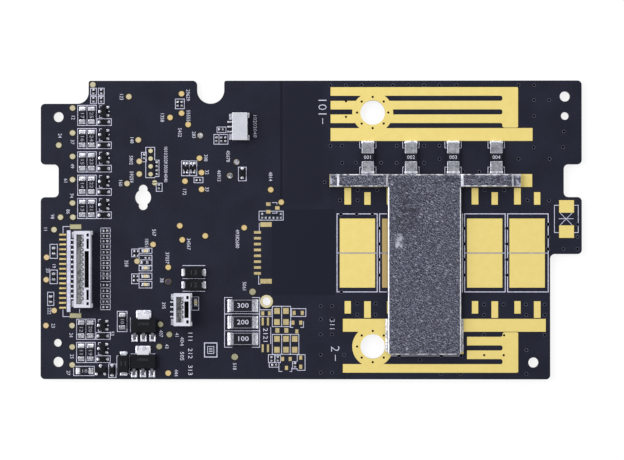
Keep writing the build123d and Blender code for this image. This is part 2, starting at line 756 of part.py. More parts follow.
# The socket that opens sideways, along +X, with a plain top
bus_x, bus_y = at(*bus_socket_place)
bus_length = (bus_socket_pin_count - 1) * pin_pitch + 2 * bus_end_margin
bus_left, bus_right = bus_x - bus_socket_depth / 2, bus_x + bus_socket_depth / 2
bus_pin_length = bus_socket_depth - bus_socket_wall
with BuildPart() as bus_socket_pin_row:
    with Locations(*[(bus_left, bus_y + offset, face) for offset in row_of(bus_socket_pin_count, pin_pitch)]):
        with Locations((-bus_tail_reach / 2, 0)):
            Box(bus_tail_reach, pin_thickness, pin_thickness, align=STANDING)
        with Locations((-pin_thickness / 2, 0)):
            Box(pin_thickness, pin_thickness, (bus_socket_height + pin_thickness) / 2, align=STANDING)
        with Locations((bus_pin_length / 2, 0, (bus_socket_height - pin_thickness) / 2)):
            Box(bus_pin_length, pin_thickness, pin_thickness, align=STANDING)
with BuildPart() as bus_socket_housing:
    with Locations((bus_x, bus_y, face)):
        Box(bus_socket_depth, bus_length, bus_socket_height, align=STANDING)
    with Locations((bus_right, bus_y, face + bus_socket_wall)):
        Box(2 * bus_cavity_depth, bus_length - 2 * bus_socket_wall, bus_socket_height - 2 * bus_socket_wall,
            align=STANDING, mode=Mode.SUBTRACT)
    ear_y = (bus_length - bus_ear_length) / 2
    for way in (1, -1):
        with Locations((bus_right + bus_ear_reach / 2, bus_y + way * ear_y, face)):
            Box(bus_ear_reach, bus_ear_length, bus_ear_height, align=STANDING)
    add(bus_socket_pin_row.part, mode=Mode.SUBTRACT)

# Leads of the moulded parts, each about its own part's middle
regulator_side = regulator_width / 2
regulator_tab = gull_lead(
    regulator_side, regulator_lead_reach, regulator_lead_foot, regulator_tab_width, regulator_height / 2
)
regulator_lead = gull_lead(
    regulator_side, regulator_lead_reach, regulator_lead_foot, regulator_lead_width, regulator_height / 2
)
regulator_leads = [(regulator_tab, (0, 0, 90))]
regulator_leads += [(regulator_lead, (offset, 0, -90)) for offset in row_of(3, regulator_lead_pitch)]


def three_leads(width, height, reach, lead_width, pitch):
    """One lead on the left side of a small part and two on its right side."""
    lead = gull_lead(width / 2, reach, lead_foot, lead_width, height / 2)
    return [(lead, (0, pitch / 2, 0)), (lead, (0, -pitch / 2, 0)), (lead, (0, 0, 180))]


def two_leads(length, height, reach, lead_width):
    """One lead at each end of a diode."""
    lead = gull_lead(length / 2, reach, lead_foot, lead_width, height / 2)
    return [(lead, (0, 0, 0)), (lead, (0, 0, 180))]


# The balancing channels: two resistors side by side, a transistor beside them and a diode below it
resistors = laid_out([last_resistor_place])
transistors = laid_out([last_transistor_place])
diodes = laid_out([last_diode_place])
for corner_x, tops in channel_columns.items():
    for top in tops:
        x, y = at(corner_x, top)
        first = x + channel_margin + balance_resistor_width / 2
        second = first + balance_resistor_width + channel_resistor_gap
        reach = transistor_width / 2 + transistor_lead_reach
        middle = second + balance_resistor_width / 2 + channel_transistor_gap + reach
        transistor_y = y - channel_transistor_drop
        diode_y = transistor_y - transistor_length / 2 - channel_diode_gap - small_diode_width / 2
        resistors += [(first, y - channel_resistor_drop, 90), (second, y - channel_resistor_drop, 90)]
        transistors += [(middle, transistor_y, 0)]
        diodes += [(middle, diode_y, 0)]

# One power diode stands beside the lower regulator
regulators = laid_out(regulator_places)
diode_x = regulators[1][0] - regulator_length / 2 - regulator_diode_gap - power_diode_width / 2
power_diodes = laid_out(power_diode_places) + [(diode_x, regulator_diode_y * row, 90)]

load_x, load_y = at(*load_resistor_place)
load_pitch = load_resistor_width + load_resistor_gap
load_resistors = [(load_x, load_y + offset) for offset in row_of(load_resistor_count, load_pitch)]

# Every piece is written to a file of its own
os.makedirs("parts", exist_ok=True)
save(circuit_board.part, "circuit_board")
save(battery_terminal_land, "battery_terminal_land")
save(pack_terminal_land.part, "pack_terminal_land")
save(shunt_rail_land, "shunt_rail_land")
save(transistor_lands, "transistor_lands")
save(transistor_lead_lands, "transistor_lead_lands")
save(square_lands((surge_land_width, surge_land_height, laid_out(surge_land_places))), "surge_part_lands")
save(plated_hole_ring.part, "plated_hole_ring")
save(solder_bridge_lands.part, "solder_bridge_lands")
save(round_lands(test_places, test_pad_diameter), "test_pads")
save(round_lands(laid_out(large_test_pad_places), large_test_pad_diameter), "large_test_pads")
save(round_lands(laid_out(tinned_pad_places), test_pad_diameter), "tinned_test_pads")
save(round_lands(laid_out(header_pad_places), header_pad_diameter), "header_pads")
save(spare_cell_socket_lands, "spare_cell_socket_lands")
save(spare_socket_lands, "spare_socket_lands")
save(spare_part_lands, "spare_part_lands")
save(tinned_lands, "tinned_lands")
save(bus_bar.part, "bus_bar")
save(bus_bar_solder.part, "bus_bar_solder")
save(shunt_ends.part, "shunt_ends")
save(shunt_middles.part, "shunt_middles")

save_wafer_socket("cell_socket", cell_socket_place, cell_socket_pin_count, cell_socket_ribs)
save_wafer_socket("clock_socket", clock_socket_place, clock_socket_pin_count, clock_socket_ribs)
save(bus_socket_housing.part, "bus_socket_housing")
save(bus_socket_pin_row.part, "bus_socket_pins")
save(socket_tabs(bus_left, bus_y, bus_length, bus_end_margin), "bus_socket_tabs")

save_chips("load_resistor", load_resistors,
           load_resistor_length, load_resistor_width, load_resistor_height, load_resistor_cap)
save_chips("balance_resistor", resistors,
           balance_resistor_length, balance_resistor_width, balance_resistor_height, balance_resistor_cap)
save_chips("timing_chip", laid_out([timing_chip_place]),
           timing_chip_length, timing_chip_width, timing_chip_height, timing_chip_cap)
save_chips("filter_chip", laid_out([(filter_chip_x, y) for y in filter_chip_rows]),
           small_chip_length, small_chip_width, small_chip_height, small_chip_cap)
save_chips("small_resistor", laid_out(small_resistor_places),
           small_chip_length, small_chip_width, small_chip_height, small_chip_cap)
save_chips("medium_resistor", laid_out(medium_resistor_places),
           medium_chip_length, medium_chip_width, medium_chip_height, medium_chip_cap)
save_chips("capacitor", laid_out(capacitor_places),
           medium_chip_length, medium_chip_width, medium_chip_height, medium_chip_cap)

save_moulded("regulator", regulators,
             regulator_length, regulator_width, regulator_height, regulator_leads)
save_moulded("power_diode", power_diodes, power_diode_length, power_diode_width, power_diode_height,
             two_leads(power_diode_length, power_diode_height, power_diode_reach, power_diode_lead_width))
save_moulded("balance_transistor", transistors, transistor_width, transistor_length, transistor_height,
             three_leads(transistor_width, transistor_height, transistor_lead_reach,
                         transistor_lead_width, transistor_lead_pitch))
small_diode_leads = two_leads(
    small_diode_length, small_diode_height, small_diode_reach, small_diode_lead_width
)
save_moulded("balance_diode", diodes,
             small_diode_length, small_diode_width, small_diode_height, small_diode_leads)
save_moulded("signal_diode", laid_out([signal_diode_place]),
             small_diode_length, small_diode_width, small_diode_height, small_diode_leads)
save_moulded("signal_transistor", laid_out(signal_part_places),
             signal_part_width, signal_part_length, signal_part_height,
             three_leads(signal_part_width, signal_part_height, signal_part_reach,
                         signal_part_lead_width, signal_part_lead_pitch))
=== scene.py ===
# %% [markdown]
# A battery management board, dressed in Blender
#
# The solids of this board come from a CAD model: laminate, gold lands, bus bar, sockets, chips. This
# lesson gives them their finishes and adds what a solid model leaves out: printed outlines, solder,
# plated vias, rounded edges, wear, and painted highlights and shade. The CAD pieces are the frame, so
# nothing here is fitted by eye: each new piece asks a CAD piece where it is.

import json
import math

import bmesh
import bpy
from mathutils import Matrix, Vector


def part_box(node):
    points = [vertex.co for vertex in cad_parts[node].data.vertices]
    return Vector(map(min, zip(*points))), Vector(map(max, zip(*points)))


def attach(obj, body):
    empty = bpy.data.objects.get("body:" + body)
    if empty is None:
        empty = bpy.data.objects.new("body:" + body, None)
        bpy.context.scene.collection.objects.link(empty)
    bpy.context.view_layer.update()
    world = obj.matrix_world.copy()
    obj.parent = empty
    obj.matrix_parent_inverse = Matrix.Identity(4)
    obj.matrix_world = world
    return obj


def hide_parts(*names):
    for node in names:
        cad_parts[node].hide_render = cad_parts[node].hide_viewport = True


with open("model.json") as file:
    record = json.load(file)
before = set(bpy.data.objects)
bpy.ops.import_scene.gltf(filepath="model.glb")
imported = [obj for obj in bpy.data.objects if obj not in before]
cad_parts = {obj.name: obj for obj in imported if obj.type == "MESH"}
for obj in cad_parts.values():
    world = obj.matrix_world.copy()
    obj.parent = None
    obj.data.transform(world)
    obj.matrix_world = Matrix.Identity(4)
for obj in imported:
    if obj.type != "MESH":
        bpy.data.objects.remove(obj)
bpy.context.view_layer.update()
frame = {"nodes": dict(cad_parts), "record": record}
nodes = frame["nodes"]
print("CAD nodes:", len(nodes))

# %% [markdown]
# Blender works in metres and the board was drawn in millimetres, so lengths below are in millimetres and
# multiplied by mm. The board's face is the plane that most pieces stand on.

# %% Units and levels
mm = 0.001


def box_mm(node):
    """A CAD node's lowest and highest corners in millimetres."""
    low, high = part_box(node)
    return Vector(low) / mm, Vector(high) / mm


board_low, board_high = box_mm("circuit_board")
face = board_high.z
land_face = box_mm("test_pads")[1].z
print("board", [round(v, 1) for v in board_high - board_low], "face at", round(face, 2), "mm")

# %% [markdown]
# The camera looks straight down at the board from about seventy centimetres with a long lens. A long
# lens flattens the view, and a slight lean to the right and the lower side makes those edges a touch
# larger, as they are in the photograph.

# %% Camera
frame_width_mm = 160.05
lens_mm = 160.0
sensor_mm = 36.0
view_centre = Vector((0.28, -0.03, face))
lean_right = math.radians(0.69)
lean_down = math.radians(0.5)

distance = frame_width_mm * lens_mm / sensor_mm
toward = Vector((math.sin(lean_right), -math.sin(lean_down), 1.0)).normalized()
camera_data = bpy.data.cameras.new("camera")
camera_data.lens = lens_mm
camera_data.sensor_width = sensor_mm
camera_data.clip_start = 0.01
camera = bpy.data.objects.new("camera", camera_data)
bpy.context.collection.objects.link(camera)
camera.location = (view_centre + toward * distance) * mm
rightward = Vector((0, 1, 0)).cross(toward).normalized()
upward = toward.cross(rightward)
camera.rotation_euler = Matrix((rightward, upward, toward)).transposed().to_euler()
bpy.context.scene.camera = camera
print("camera", round(distance), "mm above the board")

# %% [markdown]
# A product photograph of a dark board is lit from the sides. Light from straight above would mirror in
# the glossy face and turn the black grey, so the lamps are large, soft and low, and the world is only a
# dim fill. The left lamp is the strongest, so the right side of each tall part lies in shade.

# %% Lamps and world
def lamp(name, place, size, watts):
    """A large soft lamp that looks at the board's middle."""
    data = bpy.data.lights.new(name, "AREA")
    data.shape = "RECTANGLE"
    data.size, data.size_y = size
    data.energy = watts
    made = bpy.data.objects.new(name, data)
    bpy.context.collection.objects.link(made)
    made.location = place
    made.rotation_euler = Vector(place).to_track_quat("Z", "Y").to_euler()


lamp("left_lamp", (-0.75, 0.12, 0.62), (0.6, 0.9), 12.2)
lamp("right_lamp", (0.75, 0.18, 0.62), (0.6, 0.9), 3.6)
lamp("back_lamp", (0.0, 0.85, 0.55), (0.9, 0.5), 5.4)

world = bpy.data.worlds.new("studio")
world.use_nodes = True
bpy.context.scene.world = world
background = world.node_tree.nodes["Background"].inputs
background["Color"].default_value = (1.0, 1.0, 1.0, 1.0)
background["Strength"].default_value = 0.3
bpy.context.scene.view_settings.view_transform = "Standard"
print("three lamps and a dim world")

# %% [markdown]
# Every finish starts from one small helper. A colour is written as the eye reads it on a screen, 0 to
# 255, and turned into the linear light that the renderer adds up.

# %% Colours and material helper
def tone(red, green, blue):
    """A screen colour, 0 to 255, as linear red, green, blue and alpha."""
    parts = [v / 255 for v in (red, green, blue)]
    linear = [v / 12.92 if v <= 0.04045 else ((v + 0.055) / 1.055) ** 2.4 for v in parts]
    return (*linear, 1.0)


def finish(name, roughness, metallic=0.0, specular=0.5):
    """A material with a Principled BSDF, ready for its nodes."""
    material = bpy.data.materials.new(name)
    material.use_nodes = True
    shader = material.node_tree.nodes["Principled BSDF"]
    shader.inputs["Roughness"].default_value = roughness
    shader.inputs["Metallic"].default_value = metallic
    shader.inputs["Specular IOR Level"].default_value = specular
    return material


def added(tree, kind, inputs, **settings):
    """A new shader node with its settings, each input linked to a socket or set to a plain value."""
    node = tree.nodes.new(f"ShaderNode{kind}")
    for name, value in settings.items():
        setattr(node, name, value)
    for name, source in inputs.items():
        if isinstance(source, bpy.types.NodeSocket):
            tree.links.new(source, node.inputs[name])
        else:
            node.inputs[name].default_value = source
    return node


def ranged(tree, value, start, end):
    """A value's way from start to end, as a share from 0 to 1."""
    return added(tree, "MapRange", {"Value": value, "From Min": start, "From Max": end}).outputs["Result"]


def paint(node, material):
    """Put one material in every slot of a CAD node's object."""
    piece = nodes[node]
    if not piece.material_slots:
        piece.data.materials.append(material)
    for slot in piece.material_slots:
        slot.material = material


# %% [markdown]
# Real surfaces are never one colour. All finishes of the board share one effect, a fine mottle that
# wanders between two colours. It is a shader node group, built once and placed in each material with
# its own numbers. Its fine part is also the height of a slight relief.

# %% Shared effects
def new_group(name, inputs, outputs):
    """A shader node group with named sockets, and the sockets of its input and output nodes."""
    kinds = {True: "NodeSocketColor", False: "NodeSocketFloat"}
    group = bpy.data.node_groups.new(name, "ShaderNodeTree")
    for socket, value in inputs.items():
        kind = kinds[isinstance(value, tuple)]
        group.interface.new_socket(socket, in_out="INPUT", socket_type=kind).default_value = value
    for socket in outputs:
        group.interface.new_socket(socket, in_out="OUTPUT", socket_type=kinds[socket == "Colour"])
    return group, group.nodes.new("NodeGroupInput").outputs, group.nodes.new("NodeGroupOutput").inputs


def mottle_group():
    """Two colours mixed by a coarse and a fine noise, and the fine noise as a height."""
    group, given, result = new_group(
        "mottle",
        {"Colour": (0.5, 0.5, 0.5, 1), "Shade": (0.4, 0.4, 0.4, 1), "Blotch": 300, "Grain": 4000,
         "Spread": 1},
        ("Colour", "Height"),
    )
    where = group.nodes.new("ShaderNodeTexCoord").outputs["Object"]
    coarse, fine = [
        added(group, "TexNoise", {"Vector": where, "Scale": given[scale], "Detail": detail})
        for scale, detail in (("Blotch", 3), ("Grain", 2))
    ]
    both = added(group, "Math", {0: coarse.outputs["Fac"], 1: fine.outputs["Fac"]}, operation="ADD")
    stretch = ranged(group, both.outputs[0], 0.8, 1.2)
    spread = added(group, "Math", {0: stretch, 1: given["Spread"]}, operation="MULTIPLY", use_clamp=True)
    mix = added(
        group, "Mix", {"Factor": spread.outputs[0], "A": given["Colour"], "B": given["Shade"]},
        data_type="RGBA",
    )
    group.links.new(mix.outputs["Result"], result["Colour"])
    group.links.new(fine.outputs["Fac"], result["Height"])
    return group


mottle = mottle_group()
print("group:", mottle.name, "with", len(mottle.nodes), "nodes")


# %% A finish with the mottle
grain_depth = 0.01 * mm


def mottled(
    name, roughness, metallic, specular, colour, shade, blotch=300, grain=4000, bump=0.0, spread=1.0
):
    """A finish coloured with the mottle, its grain pressed into the surface where bump is given."""
    material = finish(name, roughness, metallic, specular)
    tree = material.node_tree
    shader = tree.nodes["Principled BSDF"].inputs
    effect = added(
        tree, "Group",
        {"Colour": tone(*colour), "Shade": tone(*shade), "Blotch": blotch, "Grain": grain, "Spread": spread},
        node_tree=mottle,
    )
    tree.links.new(effect.outputs["Colour"], shader["Base Color"])
    if bump:
        relief = added(
            tree, "Bump", {"Strength": bump, "Distance": grain_depth, "Height": effect.outputs["Height"]}
        )
        tree.links.new(relief.outputs["Normal"], shader["Normal"])
    return material


# %% [markdown]
# Some finishes change from place to place: lands age more on one side of the board, and the floor of a
# socket is painted paler than its rim, painted light where it lies in shade. The next helpers lay a second
# colour over the one that a material already has, by position along an axis or by the way a face is
# turned.

# %% A second colour by place
def over_colour(material, colour, *shares):
    """Lay a screen colour over a material's own, as much as the product of the shares says."""
    tree = material.node_tree
    share = shares[0]
    for other in shares[1:]:
        share = added(tree, "Math", {0: share, 1: other}, operation="MULTIPLY").outputs[0]
    base = tree.nodes["Principled BSDF"].inputs["Base Color"]
    under = base.links[0].from_socket
    over = added(tree, "Mix", {"Factor": share, "A": under, "B": tone(*colour)}, data_type="RGBA")
    tree.links.new(over.outputs["Result"], base)


def place_of(material):
    """The position on the board."""
    return material.node_tree.nodes.new("ShaderNodeTexCoord").outputs["Object"]


def part_of(material, axis, start, end):
    """A share that grows from 0 at start to 1 at end along an axis, in millimetres."""
    split = added(material.node_tree, "SeparateXYZ", {"Vector": place_of(material)})
    return ranged(material.node_tree, split.outputs[axis], start * mm, end * mm)


def turned_part(material, start, end):
    """A share that grows from 0 to 1 as the upward part of a face's normal goes from start to end."""
    normal = material.node_tree.nodes.new("ShaderNodeNewGeometry").outputs["Normal"]
    split = added(material.node_tree, "SeparateXYZ", {"Vector": normal})
    return ranged(material.node_tree, split.outputs["Z"], start, end)


def inside(material, left, right, low, high, soft):
    """Four shares that end at the sides of a rectangle of the board, in millimetres, over a soft edge."""
    return [
        part_of(material, axis, edge, edge + way * soft)
        for axis, edge, way in (("X", left, 1), ("X", right, -1), ("Y", low, 1), ("Y", high, -1))
    ]


def tinted(material, axis, start, end, colour):
    """Tint a material towards a colour from start to end along an axis, in millimetres."""
    over_colour(material, colour, part_of(material, axis, start, end))


def patched(material, left, right, low, high, colour, soft=0.25):
    """Lay a colour over a rectangle of the board, with soft edges, in millimetres."""
    over_colour(material, colour, *inside(material, left, right, low, high, soft))


# %% [markdown]
# The board's face is black solder mask, a thin lacquer over copper. Copper planes end under it, which
# shows as faint areas of another black. Its sides are the cut laminate, brown-black glass fibre. One
# material does all three: where a face is turned sideways, it shows the laminate.

# %% Solder mask and laminate
mask_finish = mottled("solder_mask", 0.36, 0, 0.14, (24, 26, 38), (30, 32, 45), 160, 2500, 0.25)
patched(mask_finish, -10.2, 6.4, -16.9, 5.4, (22, 25, 37))
patched(mask_finish, -7.8, 4.2, 5.6, 38.4, (24, 26, 38), soft=2.0)
patched(mask_finish, -8.0, -7.2, 5.6, 38.4, (17, 18, 28))
laminate = [turned_part(mask_finish, side * 0.7, side * 0.4) for side in (1, -1)]
over_colour(mask_finish, (66, 58, 46), *laminate)
paint("circuit_board", mask_finish)

# %% [markdown]
# Gold-plated copper is bright and even from above, with a slightly rough, sandy surface. Tinned lands
# and leads are the same idea in grey. A pure metal would only mirror the dark room above the board, so
# part of each is left as plain colour. Each finish is one row of numbers: roughness, metallic, specular,
# two screen colours, the mottle's two scales and the strength of its relief.

# %% Metal finishes
gold_finish = mottled("gold", 0.42, 0.55, 0.5, (236, 216, 133), (233, 211, 127), 500, 5200, 0.25)
# Painted shade and painted reflection: the gold strip beside the bus bar's raised plate is dimmer and
# browner
patched(gold_finish, 18.2, 20.2, -15.2, 3.4, (188, 164, 108), soft=0.1)
pad_finish = mottled("pad_gold", 0.4, 0.45, 0.5, (192, 187, 162), (176, 170, 140), 500, 4000, 0.3)
tinted(pad_finish, "X", -50.0, -38.0, (206, 182, 128))
patched(pad_finish, -70.0, -64.4, -26.0, -5.0, (200, 178, 136))
patched(pad_finish, -40.2, -34.8, -31.2, -23.0, (154, 153, 128))
header_finish = mottled("header_gold", 0.4, 0.45, 0.5, (204, 198, 163), (186, 179, 145), 500)
ring_finish = mottled("ring_gold", 0.4, 0.45, 0.5, (212, 203, 166), (196, 184, 142), 500)
worn_pad_finish = mottled("worn_pad", 0.45, 0.4, 0.5, (158, 157, 128), (138, 138, 116), 600, 4000, 0.3)
# The rim's darker colour: partly the mask's edge over the copper, partly painted shade on the slope
rim_and_shade_finish = mottled("land_rim_and_shade", 0.5, 0.4, 0.5, (104, 90, 62), (78, 68, 50), 900, 5200)
spare_finish = mottled("spare_gold", 0.42, 0.45, 0.5, (196, 178, 128), (172, 158, 118), 500, 4500, 0.3)
cell_land_finish = mottled("cell_gold", 0.42, 0.45, 0.5, (222, 204, 140), (182, 162, 106), 500, 4500)
tinted(cell_land_finish, "X", -62.4, -61.6, (162, 158, 126))
tin_finish = mottled("tin", 0.33, 0.5, 0.5, (205, 207, 216), (140, 143, 156), 900, 4200, 0.4)
dull_tin_finish = mottled("dull_tin", 0.4, 0.4, 0.5, (196, 198, 205), (70, 72, 82), 1500, 2600, 0.5)
patched(dull_tin_finish, -38.4, -35.0, -15.0, -11.6, (62, 56, 72))
lead_finish = mottled("lead_metal", 0.4, 0.4, 0.5, (120, 122, 132), (84, 86, 96), 1200, 3600, 0.4)
for low in (-23.5, -32.7):
    patched(lead_finish, -45.4, -40.6, low, low + 3.4, (206, 208, 216), soft=0.1)
bar_finish = mottled("bar_metal", 0.42, 0.4, 0.5, (124, 127, 148), (0, 1, 10), 3800, 5600, 0.9, spread=1.4)
bar_solder_finish = mottled("bar_solder", 0.4, 0.4, 0.5, (196, 198, 208), (92, 95, 110), 1300, 3200, 0.5)
pin_finish = mottled("pin_metal", 0.3, 0.5, 0.5, (222, 224, 230), (180, 182, 192), 900, 5200)

# %% Plastic and chip finishes
housing_finish = mottled("housing_plastic", 0.55, 0, 0.3, (192, 193, 204), (176, 178, 190), 260, 2600, 0.2)
mould_finish = mottled("black_moulding", 0.5, 0, 0.1, (20, 21, 26), (13, 14, 18), 500, 5200, 0.5)
chip_finish = mottled("chip_black", 0.45, 0, 0.14, (27, 29, 37), (19, 20, 27), 500, 5200, 0.3)
tan_finish = mottled("chip_tan", 0.5, 0, 0.5, (200, 189, 152), (168, 154, 118), 900, 5200, 0.3)

# Painted light: the floor inside a socket lies in shade, so it is painted paler than its rim.
# Painted shade: the key beside it, below the rim, is painted dark.
floor_start, floor_end = face + 3.1, face + 1.9
rim_start, rim_end = face + 4.1, face + 3.9
key_left, key_right, key_margin = 2.7, 3.88, 0.6
upward = turned_part(housing_finish, 0.5, 0.8)
floor_in_shade = part_of(housing_finish, "Z", floor_start, floor_end)
over_colour(housing_finish, (238, 240, 234), upward, floor_in_shade)
below_rim = part_of(housing_finish, "Z", rim_start, rim_end)
for socket in ("cell_socket_housing", "clock_socket_housing"):
    low, high = box_mm(socket)
    key = inside(
        housing_finish, low.x + key_left, low.x + key_right, low.y + key_margin, high.y - key_margin, 0.05
    )
    over_colour(housing_finish, (22, 23, 27), below_rim, *key)

# %% Finishes on the CAD pieces
slot_finish = {
    "solder_mask": mask_finish, "gold": gold_finish, "tin": tin_finish, "bar_metal": bar_finish,
    "white_plastic": housing_finish, "black_moulding": mould_finish, "chip_black": chip_finish,
    "chip_tan": tan_finish, "pin_metal": pin_finish,
}
for subpart in frame["record"]["subparts"]:
    paint(subpart["node"], slot_finish[subpart["material_slot"]])
for node, other_finish in (
    ("solder_bridge_lands", header_finish), ("plated_hole_ring", ring_finish),
    ("bus_bar_solder", bar_solder_finish), ("regulator_leads", lead_finish),
    ("timing_chip_bodies", chip_finish),
):
    paint(node, other_finish)

# %% [markdown]
# Most small pieces are added to one mesh per kind, so a handful of objects hold hundreds of shapes. This
# helper turns a bmesh, drawn in millimetres, into an object at the origin that rides on the board.

# %% From bmesh to a piece of the board
def piece(name, mesh, materials, slot, replaces=None):
    """Make an object of a bmesh drawn in millimetres and let it ride on the board."""
    bmesh.ops.scale(mesh, vec=(mm, mm, mm), verts=mesh.verts)
    bmesh.ops.recalc_face_normals(mesh, faces=mesh.faces)
    data = bpy.data.meshes.new(name)
    mesh.to_mesh(data)
    mesh.free()
    for material in materials:
        data.materials.append(material)
    made = bpy.data.objects.new(name, data)
    bpy.context.collection.objects.link(made)
    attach(made, "root")
    if replaces:
        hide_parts(replaces)
    print(name, len(data.polygons), "faces")


# %% [markdown]
# A CAD mesh arrives as loose triangles. A copy of it is merged, its flat faces are dissolved back into
# whole ones, and its solids are told apart by walking from vertex to vertex. Their boxes say where each
# chip, cap and lead stands, so solder and print can be placed without repeating the layout.

# %% Read the solids of a CAD node
def whole_copy(node):
    """A bmesh copy of a CAD node, in millimetres, with its triangles joined into whole faces."""
    copy = bmesh.new()
    copy.from_mesh(nodes[node].data)
    bmesh.ops.scale(copy, vec=(1 / mm, 1 / mm, 1 / mm), verts=copy.verts)
    bmesh.ops.remove_doubles(copy, verts=copy.verts, dist=0.0005)
    bmesh.ops.dissolve_limit(copy, angle_limit=math.radians(0.5), verts=copy.verts, edges=copy.edges)
    return copy


def solid_boxes(node):
    """The lowest and highest corner of each solid in a CAD node, in millimetres."""
    copy = whole_copy(node)
    left = set(copy.verts)
    boxes = []
    while left:
        reached = [left.pop()]
        solid = []
        while reached:
            vert = reached.pop()
            solid.append(vert.co.copy())
            for edge in vert.link_edges:
                other = edge.other_vert(vert)
                if other in left:
                    left.remove(other)
                    reached.append(other)
        boxes.append([Vector([pick(co[axis] for co in solid) for axis in range(3)]) for pick in (min, max)])
    copy.free()
    return sorted(boxes, key=lambda box: (round(box[0].x, 2), round(box[0].y, 2)))


def middles(node):
    """The middle, in plan, and the box of each solid in a CAD node."""
    return [(((low + high) / 2).xy, low, high) for low, high in solid_boxes(node)]


def ends_of(kind, ends):
    """The top, outer toe, way out from the nearest body and width of each end of a kind of part."""
    bodies = [body for body, low, high in middles(f"{kind}_bodies")]
    found = []
    for middle, low, high in middles(f"{kind}_{ends}"):
        half = (high - low).xy / 2
        away = min((middle - body for body in bodies), key=lambda gap: gap.length)
        if abs(away.x) * (2 * half.y + 0.01) >= abs(away.y) * (2 * half.x + 0.01):
            heading, width = Vector((math.copysign(1, away.x), 0)), 2 * half.y
        else:
            heading, width = Vector((0, math.copysign(1, away.y))), 2 * half.x
        found.append((high.z, middle + heading * half, heading, width))
    return found


print("balance resistors:", len(solid_boxes("balance_resistor_bodies")))

# %% [markdown]
# Moulded plastic and stamped metal have no sharp edges: they catch light along a thin rounded line. The
# copy of a CAD node gets that line with a bevel, as wide as a mould or a stamping die would leave it, and
# stands for the node. Where an edge should shine more, its faces take a second, lighter material, a
# painted highlight.

# %% Round the edges of a CAD node
def bevelled(mesh, edges, width, segments=2):
    """Round the edges of a mesh, and give back the faces that this makes."""
    return bmesh.ops.bevel(
        mesh, geom=edges, offset=width, offset_type="OFFSET", segments=segments, profile=0.5,
        affect="EDGES", clamp_overlap=True, material=-1,
    )["faces"]


def soften(node, width, materials, slot, with_highlight=False, segments=2, name=None):
    """Replace a CAD node by a copy with its outer edges rounded. The bus bar's bends, and the rounded
    faces when asked, take the second material, a painted highlight.
    """
    copy = whole_copy(node)
    if node == "bus_bar":
        for bend in copy.faces:
            if bend.normal.z > 0.2 and abs(bend.normal.x) > 0.3:
                bend.material_index = 1
    sharp = [
        edge for edge in copy.edges
        if len(edge.link_faces) == 2 and edge.is_convex and edge.calc_face_angle(0) > math.radians(30)
    ]
    for rounded in bevelled(copy, sharp, width, segments):
        rounded.material_index = int(with_highlight)
    piece(name or f"soft_{node}", copy, materials, slot, node)


# %% [markdown]
# The solder mask ends at the edge of a land, a little over its copper, so every bare land has a thin rim
# that slopes down. Its darker colour is partly that edge of mask and partly painted shade on the slope.
# Each upper face is inset, the ring takes a second material, and its outer corners are let down.

# %% Rims round the small lands
def rimmed(node, width, drop, materials, slot):
    """Replace a CAD node of flat lands by a copy with a sloping rim, in millimetres."""
    copy = whole_copy(node)
    lids = [f for f in copy.faces if f.normal.z > 0.9]
    outer = {vert for lid in lids for vert in lid.verts}
    rings = bmesh.ops.inset_individual(copy, faces=lids, thickness=width, use_even_offset=True)["faces"]
    for ring in rings:
        ring.material_index = 1
    bmesh.ops.translate(copy, vec=(0, 0, -drop), verts=list(outer))
    piece(f"rimmed_{node}", copy, materials, slot, node)


for node, width, drop, land_finish, slot in (
    ("test_pads", 0.14, 0.05, pad_finish, "gold"),
    ("large_test_pads", 0.14, 0.05, worn_pad_finish, "gold"),
    ("header_pads", 0.08, 0.05, header_finish, "gold"),
    ("tinned_test_pads", 0.14, 0.05, dull_tin_finish, "tin"),
    ("spare_cell_socket_lands", 0.1, 0.04, cell_land_finish, "gold"),
    ("spare_socket_lands", 0.07, 0.04, spare_finish, "gold"),
    ("spare_part_lands", 0.07, 0.04, spare_finish, "gold"),
):
    rimmed(node, width, drop, [land_finish, rim_and_shade_finish], slot)

# %% [markdown]
# Round a test pad the mask stops a little short of the copper, so a thin dark ring of bare laminate
# shows. It is one flat disc under each pad, a hair above the mask.

# %% Bare rings round the test pads
bare_finish = mottled("bare_laminate", 0.7, 0, 0.1, (14, 13, 17), (8, 7, 10))
bare_rings = bmesh.new()
ring_width, ring_height = 0.16, 0.006
for node in ("test_pads", "large_test_pads", "tinned_test_pads", "header_pads"):
    for centre, low, high in middles(node):
        radius = (high.x - low.x) / 2 + ring_width
        bmesh.ops.create_cone(
            bare_rings, cap_ends=True, segments=32, radius1=radius, radius2=radius, depth=ring_height,
            matrix=Matrix.Translation((*centre, face + ring_height / 2)),
        )
piece("bare_rings", bare_rings, [bare_finish], "solder_mask")

# %% [markdown]
# The bus bar is stamped from thick tinned copper. Its face is rough and dull, with fine scratches from
# handling, and a painted highlight lies along its rounded edges and bends. The scratches are a noise
# pulled out along one direction and cut off low, so that only thin streaks are left.

# %% Scratches
def scratch_group():
    """Thin streaks along a turned direction, as a mask."""
    group, given, result = new_group("scratches", {"Turn": 0.6, "Fineness": 2600, "Amount": 0.5}, ("Mask",))
    where = group.nodes.new("ShaderNodeTexCoord").outputs["Object"]
    turn = added(group, "VectorRotate", {"Vector": where, "Angle": given["Turn"]}, rotation_type="Z_AXIS")
    stretch = added(group, "Mapping", {"Vector": turn.outputs["Vector"], "Scale": (1.0, 0.2, 1.0)})
    streaks = added(
        group, "TexNoise", {"Vector": stretch.outputs["Vector"], "Scale": given["Fineness"], "Detail": 2}
    )
    cut = ranged(group, streaks.outputs["Fac"], 0.58, 0.7)
    strength = added(group, "Math", {0: cut, 1: given["Amount"]}, operation="MULTIPLY", use_clamp=True)
    group.links.new(strength.outputs[0], result["Mask"])
    return group


